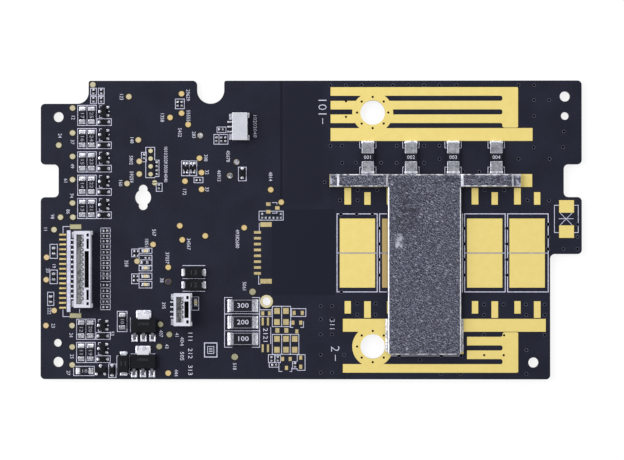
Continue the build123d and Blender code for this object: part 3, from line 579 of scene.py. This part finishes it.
scratches = scratch_group()
for colour, turn, fineness, amount in (
    ((178, 180, 196), -1.1, 4400, 0.85), ((30, 32, 44), 0.9, 4000, 0.7),
):
    effect = added(
        bar_finish.node_tree, "Group", {"Turn": turn, "Fineness": fineness, "Amount": amount},
        node_tree=scratches,
    )
    over_colour(bar_finish, colour, effect.outputs["Mask"])
print("group:", scratches.name, "with", len(scratches.nodes), "nodes")


# %% Marks, speckle and painted highlights
def rubbed(material, left, right, low, high, colour, soft=0.12, amount=(0.35, 0.62)):
    """Colour a rectangle of a part, broken up by a noise: a mark, a speckle or a painted highlight."""
    tree = material.node_tree
    noise = added(tree, "TexNoise", {"Vector": place_of(material), "Scale": 900, "Detail": 3})
    cut = ranged(tree, noise.outputs["Fac"], *amount)
    over_colour(material, colour, cut, *inside(material, left, right, low, high, soft))


# Painted highlights along the plate's and the arms' edges, then along the bends
bar_low, bar_high = box_mm("bus_bar")
plate_left, plate_right = 19.75, 38.45
arm_low = bar_high.y - 3.2
plate_edge, arm_edge = 0.34, 0.32
for edge in (
    (plate_left, plate_left + plate_edge, bar_low.y, arm_low),
    (plate_right - plate_edge, plate_right, bar_low.y, arm_low),
    (plate_left, plate_right, bar_low.y, bar_low.y + plate_edge),
    (bar_low.x, bar_high.x, bar_high.y - arm_edge, bar_high.y),
    (bar_low.x, plate_left, arm_low, arm_low + arm_edge),
    (plate_right, bar_high.x, arm_low, arm_low + arm_edge),
    (plate_left - 0.4, plate_left + 0.1, arm_low, bar_high.y),
    (plate_right - 0.1, plate_right + 0.4, arm_low, bar_high.y),
):
    rubbed(bar_finish, *edge, (226, 228, 235), 0.06)

# The two feet, a bright mark on the plate and three dark ones
foot_tone = (168, 170, 186)
for mark in (
    (bar_low.x - 0.3, 6.9, arm_low, bar_high.y, foot_tone, 0.3, (0.5, 0.66)),
    (51.6, bar_high.x + 0.3, arm_low, bar_high.y, foot_tone, 0.3, (0.5, 0.66)),
    (21.4, 23.7, -5.0, -0.8, (180, 182, 194), 0.6, (0.38, 0.58)),
    (20.0, 28.0, -3.0, 14.0, (22, 24, 34), 4.0, (0.38, 0.74)),
    (34.0, 38.0, 11.6, 14.2, (40, 42, 54), 0.8, (0.4, 0.6)),
    (23.0, 29.0, -1.0, 9.0, (44, 46, 58), 2.4, (0.5, 0.66)),
):
    rubbed(bar_finish, *mark)

# %% Rounded bus bar, housings, bodies and caps
# A lighter finish for rounded edges and bends: a painted highlight
edge_highlight_finish = mottled("edge_painted_highlight", 0.35, 0.25, 0.5, (236, 238, 243), (176, 178, 190), 700, 3600, 0.4)
soften("bus_bar", 0.24, [bar_finish, edge_highlight_finish], "bar_metal", True, 3, "bus_bar_with_highlights")
for node in ("cell_socket_housing", "clock_socket_housing"):
    # The floor beside the pins is speckled
    low, high = box_mm(node)
    sides = (low.x + 0.62, low.x + 2.0, low.y + 0.88, high.y - 0.88)
    rubbed(housing_finish, *sides, (156, 159, 156), 0.05, (0.46, 0.6))
    soften(node, 0.06, [housing_finish], "white_plastic")
grey_housing_finish = mottled("grey_housing", 0.5, 0, 0.3, (178, 180, 188), (164, 166, 176), 300, 2600, 0.2)
# The bus socket's rounded edges take a lighter grey, a painted highlight
grey_edge_highlight_finish = mottled("housing_edge_highlight", 0.5, 0, 0.3, (222, 223, 230), (204, 206, 214))
soften("bus_socket_housing", 0.14, [grey_housing_finish, grey_edge_highlight_finish], "white_plastic", True)
for kind in (
    "regulator", "power_diode", "balance_transistor", "balance_diode", "signal_transistor", "signal_diode",
):
    soften(f"{kind}_bodies", 0.05, [mould_finish], "black_moulding")
cap_finish = mottled("cap_metal", 0.35, 0.4, 0.5, (176, 178, 188), (84, 86, 100), 1500, 3600, 0.5)
shunt_finish = mottled("shunt_copper", 0.4, 0.4, 0.5, (160, 162, 168), (112, 114, 124), 700, 2600, 0.5)
# The second material of each row goes on the rounded edges of the caps and shunt ends, a painted highlight
for width, materials, kinds in (
    (0.12, [cap_finish, edge_highlight_finish], ("balance_resistor_caps", "timing_chip_caps")),
    (0.08, [shunt_finish, tin_finish], ("shunt_ends", "load_resistor_caps")),
    (0.04, [tin_finish, edge_highlight_finish],
     ("small_resistor_caps", "medium_resistor_caps", "capacitor_caps", "filter_chip_caps")),
):
    for node in kinds:
        soften(node, width, materials, "tin", True)

# %% [markdown]
# Solder wets the end of a chip and runs down to its land in a hollow curve. The curve is drawn as a
# profile of a few points, closed into a face and extruded over the land's width.

# %% Solder fillets
def solder_fillet(mesh, toe, heading, reach, width, height):
    """A hollow fillet from a height at toe down to the board, reach further along heading."""
    steps, hollow, lip = 5, 1.8, 0.04
    profile = [(0.0, 0.0), (reach, 0.0)]
    for step in range(steps + 1):
        share = step / steps
        profile.append((reach * (1 - share), lip + (height - lip) * share ** hollow))
    verts = [mesh.verts.new((x, -width / 2, z)) for x, z in profile]
    side = mesh.faces.new(verts)
    grown = bmesh.ops.extrude_face_region(mesh, geom=[side])["geom"]
    other = [item for item in grown if isinstance(item, bmesh.types.BMVert)]
    bmesh.ops.translate(mesh, vec=(0, width, 0), verts=other)
    turn = Matrix.Rotation(math.atan2(heading.y, heading.x), 4, "Z")
    bmesh.ops.transform(mesh, matrix=Matrix.Translation((*toe, face)) @ turn, verts=verts + other)


solder_finish = mottled("solder", 0.28, 0.35, 0.5, (232, 233, 239), (150, 153, 167), 1100, 3600, 0.5)
solder = bmesh.new()
# (kind of part, reach of the fillet, margin beside the cap)
for kind, reach, margin in (
    ("balance_resistor", 0.62, 0), ("load_resistor", 0.75, 0), ("timing_chip", 0.5, 0),
    ("small_resistor", 0.2, 0.02), ("medium_resistor", 0.2, 0.02), ("capacitor", 0.2, 0.02),
    ("filter_chip", 0.2, 0.02),
):
    for top, toe, heading, width in ends_of(kind, "caps"):
        solder_fillet(solder, toe, heading, reach, width + 2 * margin, (top - face) * 0.9)
piece("chip_solder", solder, [solder_finish], "tin")

# %% [markdown]
# A lead's foot sits in a puddle of solder that is a little wider than the lead. A puddle is a box whose
# upper edges are bevelled so far that it becomes a low, rounded mound.

# %% Puddles under the leads
def puddle(mesh, centre, size, height, round_by):
    """A low rounded mound of solder on the board."""
    place = Matrix.Translation((centre.x, centre.y, face + height / 2)) @ Matrix.Diagonal((*size, height, 1))
    made = bmesh.ops.create_cube(mesh, size=1.0, matrix=place)["verts"]
    edges = {edge for vert in made for edge in vert.link_edges}
    upper = [edge for edge in edges if max(v.co.z for v in edge.verts) > face + height / 2]
    bevelled(mesh, upper, round_by)


# %% Solder under the leads of diodes and transistors
def puddles(mesh, kind, foot, beyond, beside, height):
    """A puddle at every lead of a kind of part, that reaches beyond its toe and beside it."""
    for top, toe, heading, width in ends_of(kind, "leads"):
        centre = toe + heading * (beyond - foot) / 2
        along, across = foot + beyond, width + 2 * beside
        size = (along, across) if heading.x else (across, along)
        puddle(mesh, centre, size, height, min(height, along / 3, across / 3))


lead_solder = bmesh.new()
puddles(lead_solder, "power_diode", 0.3, 0.55, 0.25, 0.5)
puddles(lead_solder, "balance_transistor", 0.4, 0.25, 0.2, 0.26)
puddles(lead_solder, "balance_diode", 0.3, 0.3, 0.18, 0.3)
puddles(lead_solder, "signal_diode", 0.3, 0.2, 0.15, 0.2)
for middle, low, high in middles("balance_transistor_bodies"):
    # A small dot of solder lies between the two right leads
    puddle(lead_solder, middle + Vector((1.3, 0)), (0.34, 0.34), 0.14, 0.08)
for middle, low, high in middles("signal_transistor_bodies"):
    for side in (-0.38, 0.38):
        puddle(lead_solder, middle + Vector((side, 1.17)), (0.62, 0.66), 0.22, 0.14)
        puddle(lead_solder, middle + Vector((side, -1.17)), (0.5, 0.5), 0.22, 0.14)

# %% Solder on regulators, sockets and shunts
for middle, low, high in middles("regulator_leads"):
    if high.x - low.x < 1.0:
        # A lead lies bare between two mounds and a bank of solder at its toe
        for side in (-0.57, 0.57):
            puddle(lead_solder, Vector((middle.x + side, low.y + 0.35)), (0.42, 1.9), 0.36, 0.14)
        puddle(lead_solder, Vector((middle.x, low.y - 0.3)), (1.3, 0.5), 0.3, 0.14)
for middle, low, high in middles("regulator_bodies"):
    # The tab above each regulator is covered with solder up to the body
    puddle(lead_solder, Vector((middle.x, high.y + 1.2)), (3.9, 2.2), 0.62, 0.3)
for socket, length in (("cell", 0.56), ("clock", 0.56), ("bus", 0.5)):
    for middle, low, high in middles(f"{socket}_socket_pins"):
        puddle(lead_solder, Vector((low.x + 0.2, middle.y)), (length, 0.5), 0.34, 0.2)
for middle, low, high in middles("shunt_ends"):
    # A bank of solder lies against the outer third of each end
    outer = high.y - 0.25 if high.y > 20.0 else low.y + 0.25
    puddle(lead_solder, Vector((middle.x, outer)), (3.35, 0.85), high.z - face + 0.02, 0.25)
piece("lead_solder", lead_solder, [solder_finish], "tin")

# %% [markdown]
# White print outlines the parts on a circuit board. It is ink, thin but real, so each line is a slab a
# fiftieth of a millimetre thick. Neighbouring lines differ a hair in height, so that no two faces lie in
# one plane where they cross, and a side that two boxes share is drawn once.

# %% Printed lines
ink_finish = mottled("ink", 0.6, 0, 0.2, (200, 201, 219), (166, 168, 188), 1500, 5200, 0.3)
ink = bmesh.new()
line_width = 0.15
fine_width = 0.13
ink_height = 0.02
drawn = set()


def line(start, end, width=line_width, level=face):
    """A printed line between two places on the board, with square ends, drawn once."""
    if (end, start) in drawn or (start, end) in drawn:
        return
    drawn.add((start, end))
    first, last = Vector(start), Vector(end)
    along = last - first
    height = ink_height + 0.001 * (len(drawn) % 7)
    place = (
        Matrix.Translation((*((first + last) / 2), level + height / 2))
        @ Matrix.Rotation(math.atan2(along.y, along.x), 4, "Z")
        @ Matrix.Diagonal((along.length + width, width, height, 1))
    )
    bmesh.ops.create_cube(ink, size=1.0, matrix=place)


def path(*places, width=line_width):
    """Printed lines from place to place."""
    for start, end in zip(places, places[1:]):
        line(start, end, width)


def frame_line(left, right, top, bottom, width=line_width):
    """A printed box."""
    path((left, top), (right, top), (right, bottom), (left, bottom), (left, top), width=width)


# %% Outlines round the balance channels
upper_channels = [(-59.9, top) for top in (32.0, 26.05, 20.05, 14.05, 8.1)]
for x, top in upper_channels + [(-60.15, -22.9), (-60.15, -28.85)]:
    low = top - 5.18
    frame_line(x, x + 4.78, top, low)
    line((x + 2.38, top), (x + 2.38, low))
    frame_line(x + 5.0, x + 8.65, top - 3.45, low)
    path((x + 5.6, top - 0.65), (x + 5.6, top - 0.1), (x + 6.2, top - 0.1))
    path((x + 5.6, top - 2.65), (x + 5.6, top - 3.15), (x + 6.3, top - 3.15))
    line((x + 7.93, top - 1.6), (x + 8.0, top - 1.6))
frame_line(-60.9, -55.6, -35.0, -37.4)
frame_line(-51.9, -50.0, -34.4, -37.9)
print("printed lines so far:", len(drawn))

# %% Outlines round the small parts
small_boxes = [
    (-56.6, -55.1, 36.4, 34.6), (-54.6, -53.1, 36.4, 34.6), (-56.6, -55.1, 34.3, 32.4),
    (-54.6, -53.1, 34.3, 32.4), (-67.0, -65.1, -3.7, -7.3), (-67.0, -65.1, -10.3, -13.8),
    (-67.6, -66.0, -16.0, -19.4), (-42.4, -40.1, 21.2, 13.4), (-34.8, -32.5, 33.6, 31.1),
    (-43.5, -42.3, 19.9, 17.5), (-40.1, -39.0, 17.9, 13.7), (-39.7, -38.2, 12.0, 9.9),
    (-33.2, -31.2, 17.7, 13.9), (-31.2, -29.3, 17.7, 13.9), (-30.0, -27.7, 13.5, 12.1),
    (-24.1, -21.8, 26.4, 25.0), (-24.9, -23.6, 24.5, 22.0), (-23.6, -21.3, 24.5, 22.0),
    (-18.6, -16.6, 16.1, 12.6), (-44.1, -40.8, -4.7, -6.0), (-44.1, -40.8, -6.5, -7.7),
    (-44.1, -40.8, -7.7, -9.1), (-44.1, -40.8, -9.2, -10.5), (-44.1, -40.8, -11.1, -12.7),
    (-44.1, -40.8, -13.2, -14.9), (-46.0, -44.1, -11.3, -13.8), (-46.0, -44.1, -4.9, -6.9),
    (-30.6, -28.8, -17.2, -20.6), (-49.7, -47.2, -20.9, -26.1), (-13.3, -7.1, 4.8, 2.5),
    (-9.9, -7.5, -19.6, -24.8), (-7.5, -5.2, -19.6, -24.8), (-5.0, -1.3, -20.2, -22.2),
    (-9.9, -7.5, -26.8, -31.9), (-7.5, -5.3, -26.8, -31.9), (-5.3, -3.1, -26.8, -31.9),
    (-3.5, -1.5, -32.0, -36.0), (-10.9, -9.3, -32.0, -34.0), (-9.2, -7.8, -32.2, -34.0),
    (-10.7, -8.2, -34.0, -35.2), (-4.7, -3.5, -33.8, -35.6), (-13.2, -10.0, -20.5, -22.2),
]
for left, right, top, bottom in small_boxes:
    frame_line(left, right, top, bottom)
path((-10.3, -25.0), (-10.3, -29.2))
path((-9.9, 7.0), (-8.7, 7.0), (-8.7, 6.6))
path((-9.9, 4.3), (-8.7, 4.3), (-8.7, 4.7))
path((-5.3, -23.5), (-5.3, -25.0), (-4.6, -25.0))
path((-1.9, -23.5), (-1.9, -25.0), (-2.6, -25.0))
path((-8.2, -35.4), (-8.2, -36.3), (-7.4, -36.3))
path((-4.9, -35.4), (-4.9, -36.3), (-5.4, -36.3))
print("boxes round small parts:", len(small_boxes))

# %% Outlines round the row of filter chips
rows = sorted(((low.y + high.y) / 2 for low, high in solid_boxes("filter_chip_bodies")), reverse=True)
left, right = -53.95, -51.5
line((left, rows[0] + 0.68), (right, rows[0] + 0.68), fine_width)
for upper, lower in zip(rows, rows[1:] + [rows[-1] - 1.36]):
    between = (upper + lower) / 2
    line((left, between), (right, between), fine_width)
    line((left, upper + 0.4), (left, upper - 0.4), fine_width)
    line((right, upper + 0.4), (right, upper - 0.4), fine_width)
print("filter chips in the row:", len(rows))

# %% Outlines round diodes, regulators, load resistors and sockets
for y in (-9.15, -12.5, -15.75):
    line((-32.9, y), (-27.2, y))
path((-49.8, -32.3), (-49.8, -37.0))
path((-46.6, -32.3), (-46.6, -37.0))
path((-49.8, -32.3), (-49.3, -32.3))
path((-46.6, -32.3), (-47.1, -32.3))
line((-46.3, -22.6), (-46.3, -26.2))
line((-46.2, -31.8), (-40.0, -31.8), fine_width)
frame_left, frame_right = -22.15, -13.15
for y in (-17.35, -21.6, -25.85, -30.1):
    line((frame_left, y), (frame_left + 1.9, y))
    line((frame_right - 1.9, y), (frame_right, y))
line((frame_left, -17.35), (frame_left, -30.1))
line((frame_right, -17.35), (frame_right, -30.1))
for y in (-21.5, -25.9):
    line((frame_left, y), (frame_right, y), fine_width)
path((-63.65, -0.75), (-63.65, 0.87), (-61.7, 0.87))
path((-63.65, -20.5), (-63.65, -22.25), (-61.7, -22.25))
path((-59.4, -20.3), (-59.4, -21.2))
line((-62.2, -0.6), (-62.2, -20.6), 0.95)
path((-13.25, 1.7), (-13.25, -0.2))
path((-13.4, -11.7), (-13.4, -13.9), (-13.0, -13.9))
print("printed lines so far:", len(drawn))

# %% Outlines on the power side
for left, right in ((6.7, 17.0), (39.4, 49.8), (50.4, 60.8)):
    frame_line(left, right, 4.1, -15.9, 0.2)
    line((left, -5.95), (right, -5.95), 0.14, land_face)
path((19.4, 4.1), (17.6, 4.1), (17.6, -15.9), (19.4, -15.9), width=0.2)
line((17.6, -5.95), (19.4, -5.95), 0.14, land_face)
line((38.85, 4.1), (38.85, -15.9), 0.2)
line((20.2, -32.3), (38.9, -32.3))
for middle, low, high in middles("shunt_middles"):
    for side in (-1, 1):
        outer, inner = middle.x + 2.1 * side, middle.x + 1.75 * side
        path((outer, 22.6), (outer, 21.0), (inner, 21.0))
        path((outer, 14.4), (outer, 16.1), (inner, 16.1))
path((63.5, 6.3), (62.4, 6.3), (62.4, -0.7), (63.5, -0.7))
path((67.4, 6.3), (68.5, 6.3), (68.5, -0.7), (67.4, -0.7))
line((63.9, 4.3), (66.9, 1.3), fine_width)
line((66.9, 4.3), (63.9, 1.3), fine_width)
line((63.6, 2.85), (67.2, 2.85), fine_width)
print("printed lines so far:", len(drawn))

# %% A plain printed square
frame_line(-27.3, -24.1, -29.0, -32.6, 0.22)
frame_line(-26.5, -24.9, -29.9, -31.7, fine_width)
for y in (-30.4, -30.8, -31.2):
    line((-26.1, y), (-25.3, y), fine_width)
piece("printed_outlines", ink, [ink_finish], "white_plastic")

# %% [markdown]
# Every test pad has a small label beside it. The labels here are plain numbers, turned a quarter like
# the ones on the board. A text curve gives the digits. Each number is made once, as a mesh, and its
# copies are placed by a matrix.

# %% Printed numbers
digits_made = {}
# At this size a digit of the built-in font is one millimetre high
text_size = 1.38


def digits_mesh(digits, thinner):
    """The mesh of a number one millimetre high, its strokes made thinner, with its middle at the origin."""
    if (digits, thinner) not in digits_made:
        curve = bpy.data.curves.new("digits", "FONT")
        curve.body = digits
        curve.size = text_size
        curve.extrude = ink_height / 2
        curve.offset = -thinner
        curve.resolution_u = 2
        curve.align_x, curve.align_y = "CENTER", "CENTER"
        holder = bpy.data.objects.new("digits", curve)
        bpy.context.collection.objects.link(holder)
        bpy.context.view_layer.update()
        shaped = holder.evaluated_get(bpy.context.evaluated_depsgraph_get())
        digits_made[digits, thinner] = bpy.data.meshes.new_from_object(shaped)
        bpy.data.objects.remove(holder)
        bpy.data.curves.remove(curve)
    return digits_made[digits, thinner]


def number(mesh, digits, x, y, height, level=face, turn=-90, stretch=1.0, thinner=0.006):
    """Print a number with its middle at a place, height tall, turned about its middle."""
    copy = digits_mesh(digits, thinner).copy()
    copy.transform(
        Matrix.Translation((x, y, level + ink_height / 2)) @ Matrix.Rotation(math.radians(turn), 4, "Z")
        @ Matrix.Diagonal((height * stretch, height, 1, 1))
    )
    mesh.from_mesh(copy)
    bpy.data.meshes.remove(copy)


# %% Numbers beside the test pads
labels = bmesh.new()
# (x, y, number of digits)
pad_labels = [
    (-61.1, 28.9, 2), (-64.5, 24.2, 2), (-61.3, 22.6, 2), (-61.3, 16.4, 2), (-63.0, 12.6, 2),
    (-61.5, 8.8, 2), (-62.4, 4.7, 2), (-66.4, 3.4, 2), (-68.2, 0.2, 2), (-48.7, 34.2, 3), (-38.2, 28.9, 4),
    (-46.0, 23.1, 3), (-48.9, 12.1, 3), (-32.5, 9.8, 3), (-42.2, -3.6, 5), (-66.0, -9.2, 2),
    (-67.6, -10.4, 2), (-67.2, -20.8, 3), (-66.2, -24.6, 2), (-61.6, -27.0, 2), (-61.4, -32.5, 2),
    (-62.3, -36.7, 2), (-30.1, 24.4, 3), (-31.6, 34.6, 5), (-27.0, 18.5, 3), (-26.7, 14.8, 2),
    (-26.7, 10.4, 2), (-31.4, -3.6, 5), (-47.4, -8.6, 3), (-36.9, -7.2, 5), (-38.3, -12.9, 2),
    (-37.8, -19.4, 3), (-38.5, -26.6, 3), (-34.4, -27.0, 2), (-37.0, -29.9, 2), (-34.6, -36.7, 3),
    (-21.3, 18.9, 5), (-23.6, 13.9, 5), (-10.4, 13.7, 4), (-18.9, -2.3, 9), (-17.1, -14.5, 4),
    (-19.6, -35.0, 3), (-51.0, -26.6, 2), (-33.7, 25.0, 4), (-31.5, 29.3, 5), (-40.3, -0.7, 3),
    (-46.2, 17.9, 4), (-46.1, 13.6, 5),
]
for order, (x, y, digits) in enumerate(pad_labels, start=1):
    number(labels, str(order * 1234567)[:digits], x, y, 0.95, stretch=0.92)
# (first number, rise, x, y, drop, count, height, stretch, thinner strokes)
for first, rise, x, y, drop, count, height, stretch, thinner in (
    (1010, 1010, -37.3, 20.4, 2.35, 4, 0.9, 0.9, 0.0), (2121, 0, -11.7, -27.1, 0, 1, 1.2, 1.2, 0.006),
    (10203040, 0, -14.4, 26.7, 0, 1, 0.95, 1.15, 0.014), (111, 101, -31.0, -27.4, 4.3, 3, 1.15, 1.15, 0.006),
    (404, 101, -33.1, -28.6, 3.8, 2, 1.0, 1.15, 0.006),
):
    for order in range(count):
        number(labels, str(first + rise * order), x, y - drop * order, height, face, -90, stretch, thinner)
for digits, x, y, height in (
    ("101", 2.85, 31.5, 2.3), ("−", 2.85, 27.9, 2.3), ("2", 6.1, -30.5, 2.3), ("−", 6.1, -32.8, 2.3),
    ("311", 5.4, -24.3, 1.35),
):
    number(labels, digits, x, y, height, stretch=1.1, thinner=0.024)
number_ink = mottled("number_ink", 0.6, 0, 0.2, (200, 201, 216), (172, 174, 192), 1500, 5200)
piece("printed_numbers", labels, [number_ink], "white_plastic")

# %% [markdown]
# Resistors carry their value as a printed code. Here each kind has plain numbers of the same size and
# place: white on the load resistors and shunts, grey on the balancing resistors, faint on moulded parts.

# %% Numbers on the parts
grey_ink = mottled("grey_ink", 0.6, 0, 0.5, (150, 151, 166), (120, 121, 136), 1500, 6000)
faint_ink = mottled("faint_ink", 0.6, 0, 0.1, (58, 62, 68), (44, 47, 52), 1500, 6000)
codes, dim_codes, faint_codes = bmesh.new(), bmesh.new(), bmesh.new()


def box_lines(mesh, centre, width, height, level):
    """A thin printed box round a code."""
    thick, ink_depth = 0.1, 0.012
    for across, along, size in (
        (0, height / 2, (width, thick)), (0, -height / 2, (width, thick)),
        (width / 2, 0, (thick, height)), (-width / 2, 0, (thick, height)),
    ):
        place = Matrix.Translation((centre.x + across, centre.y + along, level + ink_depth / 2))
        bmesh.ops.create_cube(mesh, size=1.0, matrix=place @ Matrix.Diagonal((*size, ink_depth, 1)))


for middle, low, high in middles("load_resistor_bodies"):
    box_lines(dim_codes, middle, 4.8, 2.9, high.z)
# (parts, mesh, digits, first number, height, stretch, turn, lift on the part, thinner strokes)
for node, mesh, digits, first, height, stretch, turn, lift, thinner in (
    ("load_resistor_bodies", codes, "{}00", 1, 1.25, 1.2, 0, 0, 0.0),
    ("shunt_middles", codes, "00{}", 1, 0.95, 1.05, 0, 0, 0.006),
    ("balance_resistor_bodies", dim_codes, "{}", 11, 0.95, 1.3, None, 0, 0.006),
    ("timing_chip_bodies", dim_codes, "{}", 10, 0.9, 1.2, -90, 0, 0.006),
    ("regulator_bodies", faint_codes, "{}0000", 1, 0.8, 1.1, 0, 0.5, 0.006),
    ("power_diode_bodies", faint_codes, "{}", 11, 1.2, 1.3, 0, 0, 0.006),
):
    for order, (middle, low, high) in enumerate(middles(node), start=first):
        # A resistor that stands upright has its number turned
        upright = -90 if high.y - low.y > high.x - low.x else 0
        number(
            mesh, digits.format(order), middle.x, middle.y + lift, height, high.z,
            upright if turn is None else turn, stretch, thinner,
        )
piece("faint_codes", faint_codes, [faint_ink], "white_plastic")
piece("white_codes", codes, [number_ink], "white_plastic")
piece("grey_codes", dim_codes, [grey_ink], "white_plastic")

# %% [markdown]
# Vias join the copper of the two faces. Under the mask they show as small round dimples. Each is a flat
# cone with twelve sides, whose lid is inset and let down a little, with a ring left round it.

# %% Vias under the mask
via_finish = mottled("via", 0.6, 0, 0.02, (1, 1, 3), (3, 3, 5), 900, 6000)
via_rim = mottled("via_rim", 0.4, 0, 0.3, (96, 99, 116), (70, 73, 90), 900, 6000)
vias = bmesh.new()
via_height = 0.032


def via(x, y, level=face, radius=0.5):
    """A shallow dark dot with a rounded rim, a hair higher than the print that it interrupts."""
    made = bmesh.ops.create_cone(
        vias, cap_ends=True, segments=12, radius1=radius, radius2=radius * 0.9,
        depth=via_height, matrix=Matrix.Translation((x, y, level + via_height / 2)),
    )["verts"]
    lid = next(f for f in {f for v in made for f in v.link_faces} if f.normal.z > 0.9 and len(f.verts) == 12)
    rim = bmesh.ops.inset_region(vias, faces=[lid], thickness=radius * 0.18, depth=-0.006)["faces"]
    if level == face:
        for ring in rim:
            ring.material_index = 1


via_rows = {
    37.1: (5, 9, 13, 17, 21, 25, 29, 33, 37.3, 53.2, 57.2), 17.2: (8, 11.5, 18, 22, 29),
    21.6: (5, 8, 22, 29, 33), -32.3: (22.6, 33.4, 38.5), 33.3: (57.2, 61.1), 29.2: (57.2,), 25.2: (64.8,),
    21.2: (57.1, 64.6), 18.2: (53.2, 61.2, 33), 14.9: (39.1, 43.2), 12.2: (3.5,),
    10.2: (12, 17, 44.5, 49.5), 7.6: (7.5, 12, 55.5, 61), -19.5: (2.5, 5.4), -22.9: (2.5, 5.4),
    -26.8: (2.5, 5.4), -36.6: (2.5, 5.4), -32.0: (2.5, 8.5), -18.9: (11.9, 16.6), -21.7: (11.9, 16.6),
    -19.1: (44.4, 49.4, 55.1, 59.9), -21.8: (44.4, 55.2, 59.9), -26.9: (44.4, 59.9), -30.8: (55.2,),
    -36.9: (55.2, 38.4, 33.4), -33.3: (28,), 0.4: (17.6, 39.4, 50.2), -3.6: (17.6, 39.4, 50.2),
    -7.6: (17.6, 39.4, 50.2), -11.6: (17.6, 39.4, 50.2), 1.4: (60.8, 68.3), -1.8: (60.8, 68.3),
    -4.9: (60.8, 68.3, 64.7), 4.03: (7.7, 11.75, 15.75), -15.9: (7.8,),
}
for y, columns in via_rows.items():
    for x in columns:
        via(x, y)
ring_radius, land_via = 4.0, 0.3
for x, y in ((15.85, 30.1), (15.85, -29.9)):
    for step in range(8):
        turn = math.radians(45 * step)
        via(x + ring_radius * math.cos(turn), y + ring_radius * math.sin(turn), land_face, land_via)
for x, y in ((9, 33.0), (9, 29.0), (49.5, -27), (44.4, -32.1), (49.4, -32.1)):
    via(x, y, land_face, land_via)
piece("vias", vias, [via_finish, via_rim], "solder_mask")

# %% [markdown]
# The floor is a wide white sheet just under the board, part of the studio. It glows a little for the
# camera and still shows the shadow.

# %% Floor
floor_mesh = bmesh.new()
bmesh.ops.create_grid(floor_mesh, x_segments=1, y_segments=1, size=1.5)
bmesh.ops.translate(floor_mesh, vec=(0, 0, -0.05 * mm), verts=floor_mesh.verts)
floor_data = bpy.data.meshes.new("floor")
floor_mesh.to_mesh(floor_data)
floor_mesh.free()
floor = bpy.data.objects.new("floor", floor_data)
bpy.context.collection.objects.link(floor)
paper = finish("paper", 0.9, specular=0.1)
tree = paper.node_tree
plain = tree.nodes["Principled BSDF"]
plain.inputs["Base Color"].default_value = (0.92, 0.92, 0.92, 1.0)
glow = added(tree, "Emission", {"Color": (1.0, 1.0, 1.0, 1.0)})
rays = tree.nodes.new("ShaderNodeLightPath").outputs
seen = rays["Is Camera Ray"]
for ray in ("Is Glossy Ray", "Is Transmission Ray"):
    seen = added(tree, "Math", {0: seen, 1: rays[ray]}, operation="ADD").outputs[0]
share = added(tree, "Math", {0: seen, 1: 0.85}, operation="MULTIPLY", use_clamp=True)
blend = added(
    tree, "MixShader", {0: share.outputs[0], 1: plain.outputs["BSDF"], 2: glow.outputs["Emission"]}
)
tree.links.new(blend.outputs["Shader"], tree.nodes["Material Output"].inputs["Surface"])
floor.data.materials.append(paper)
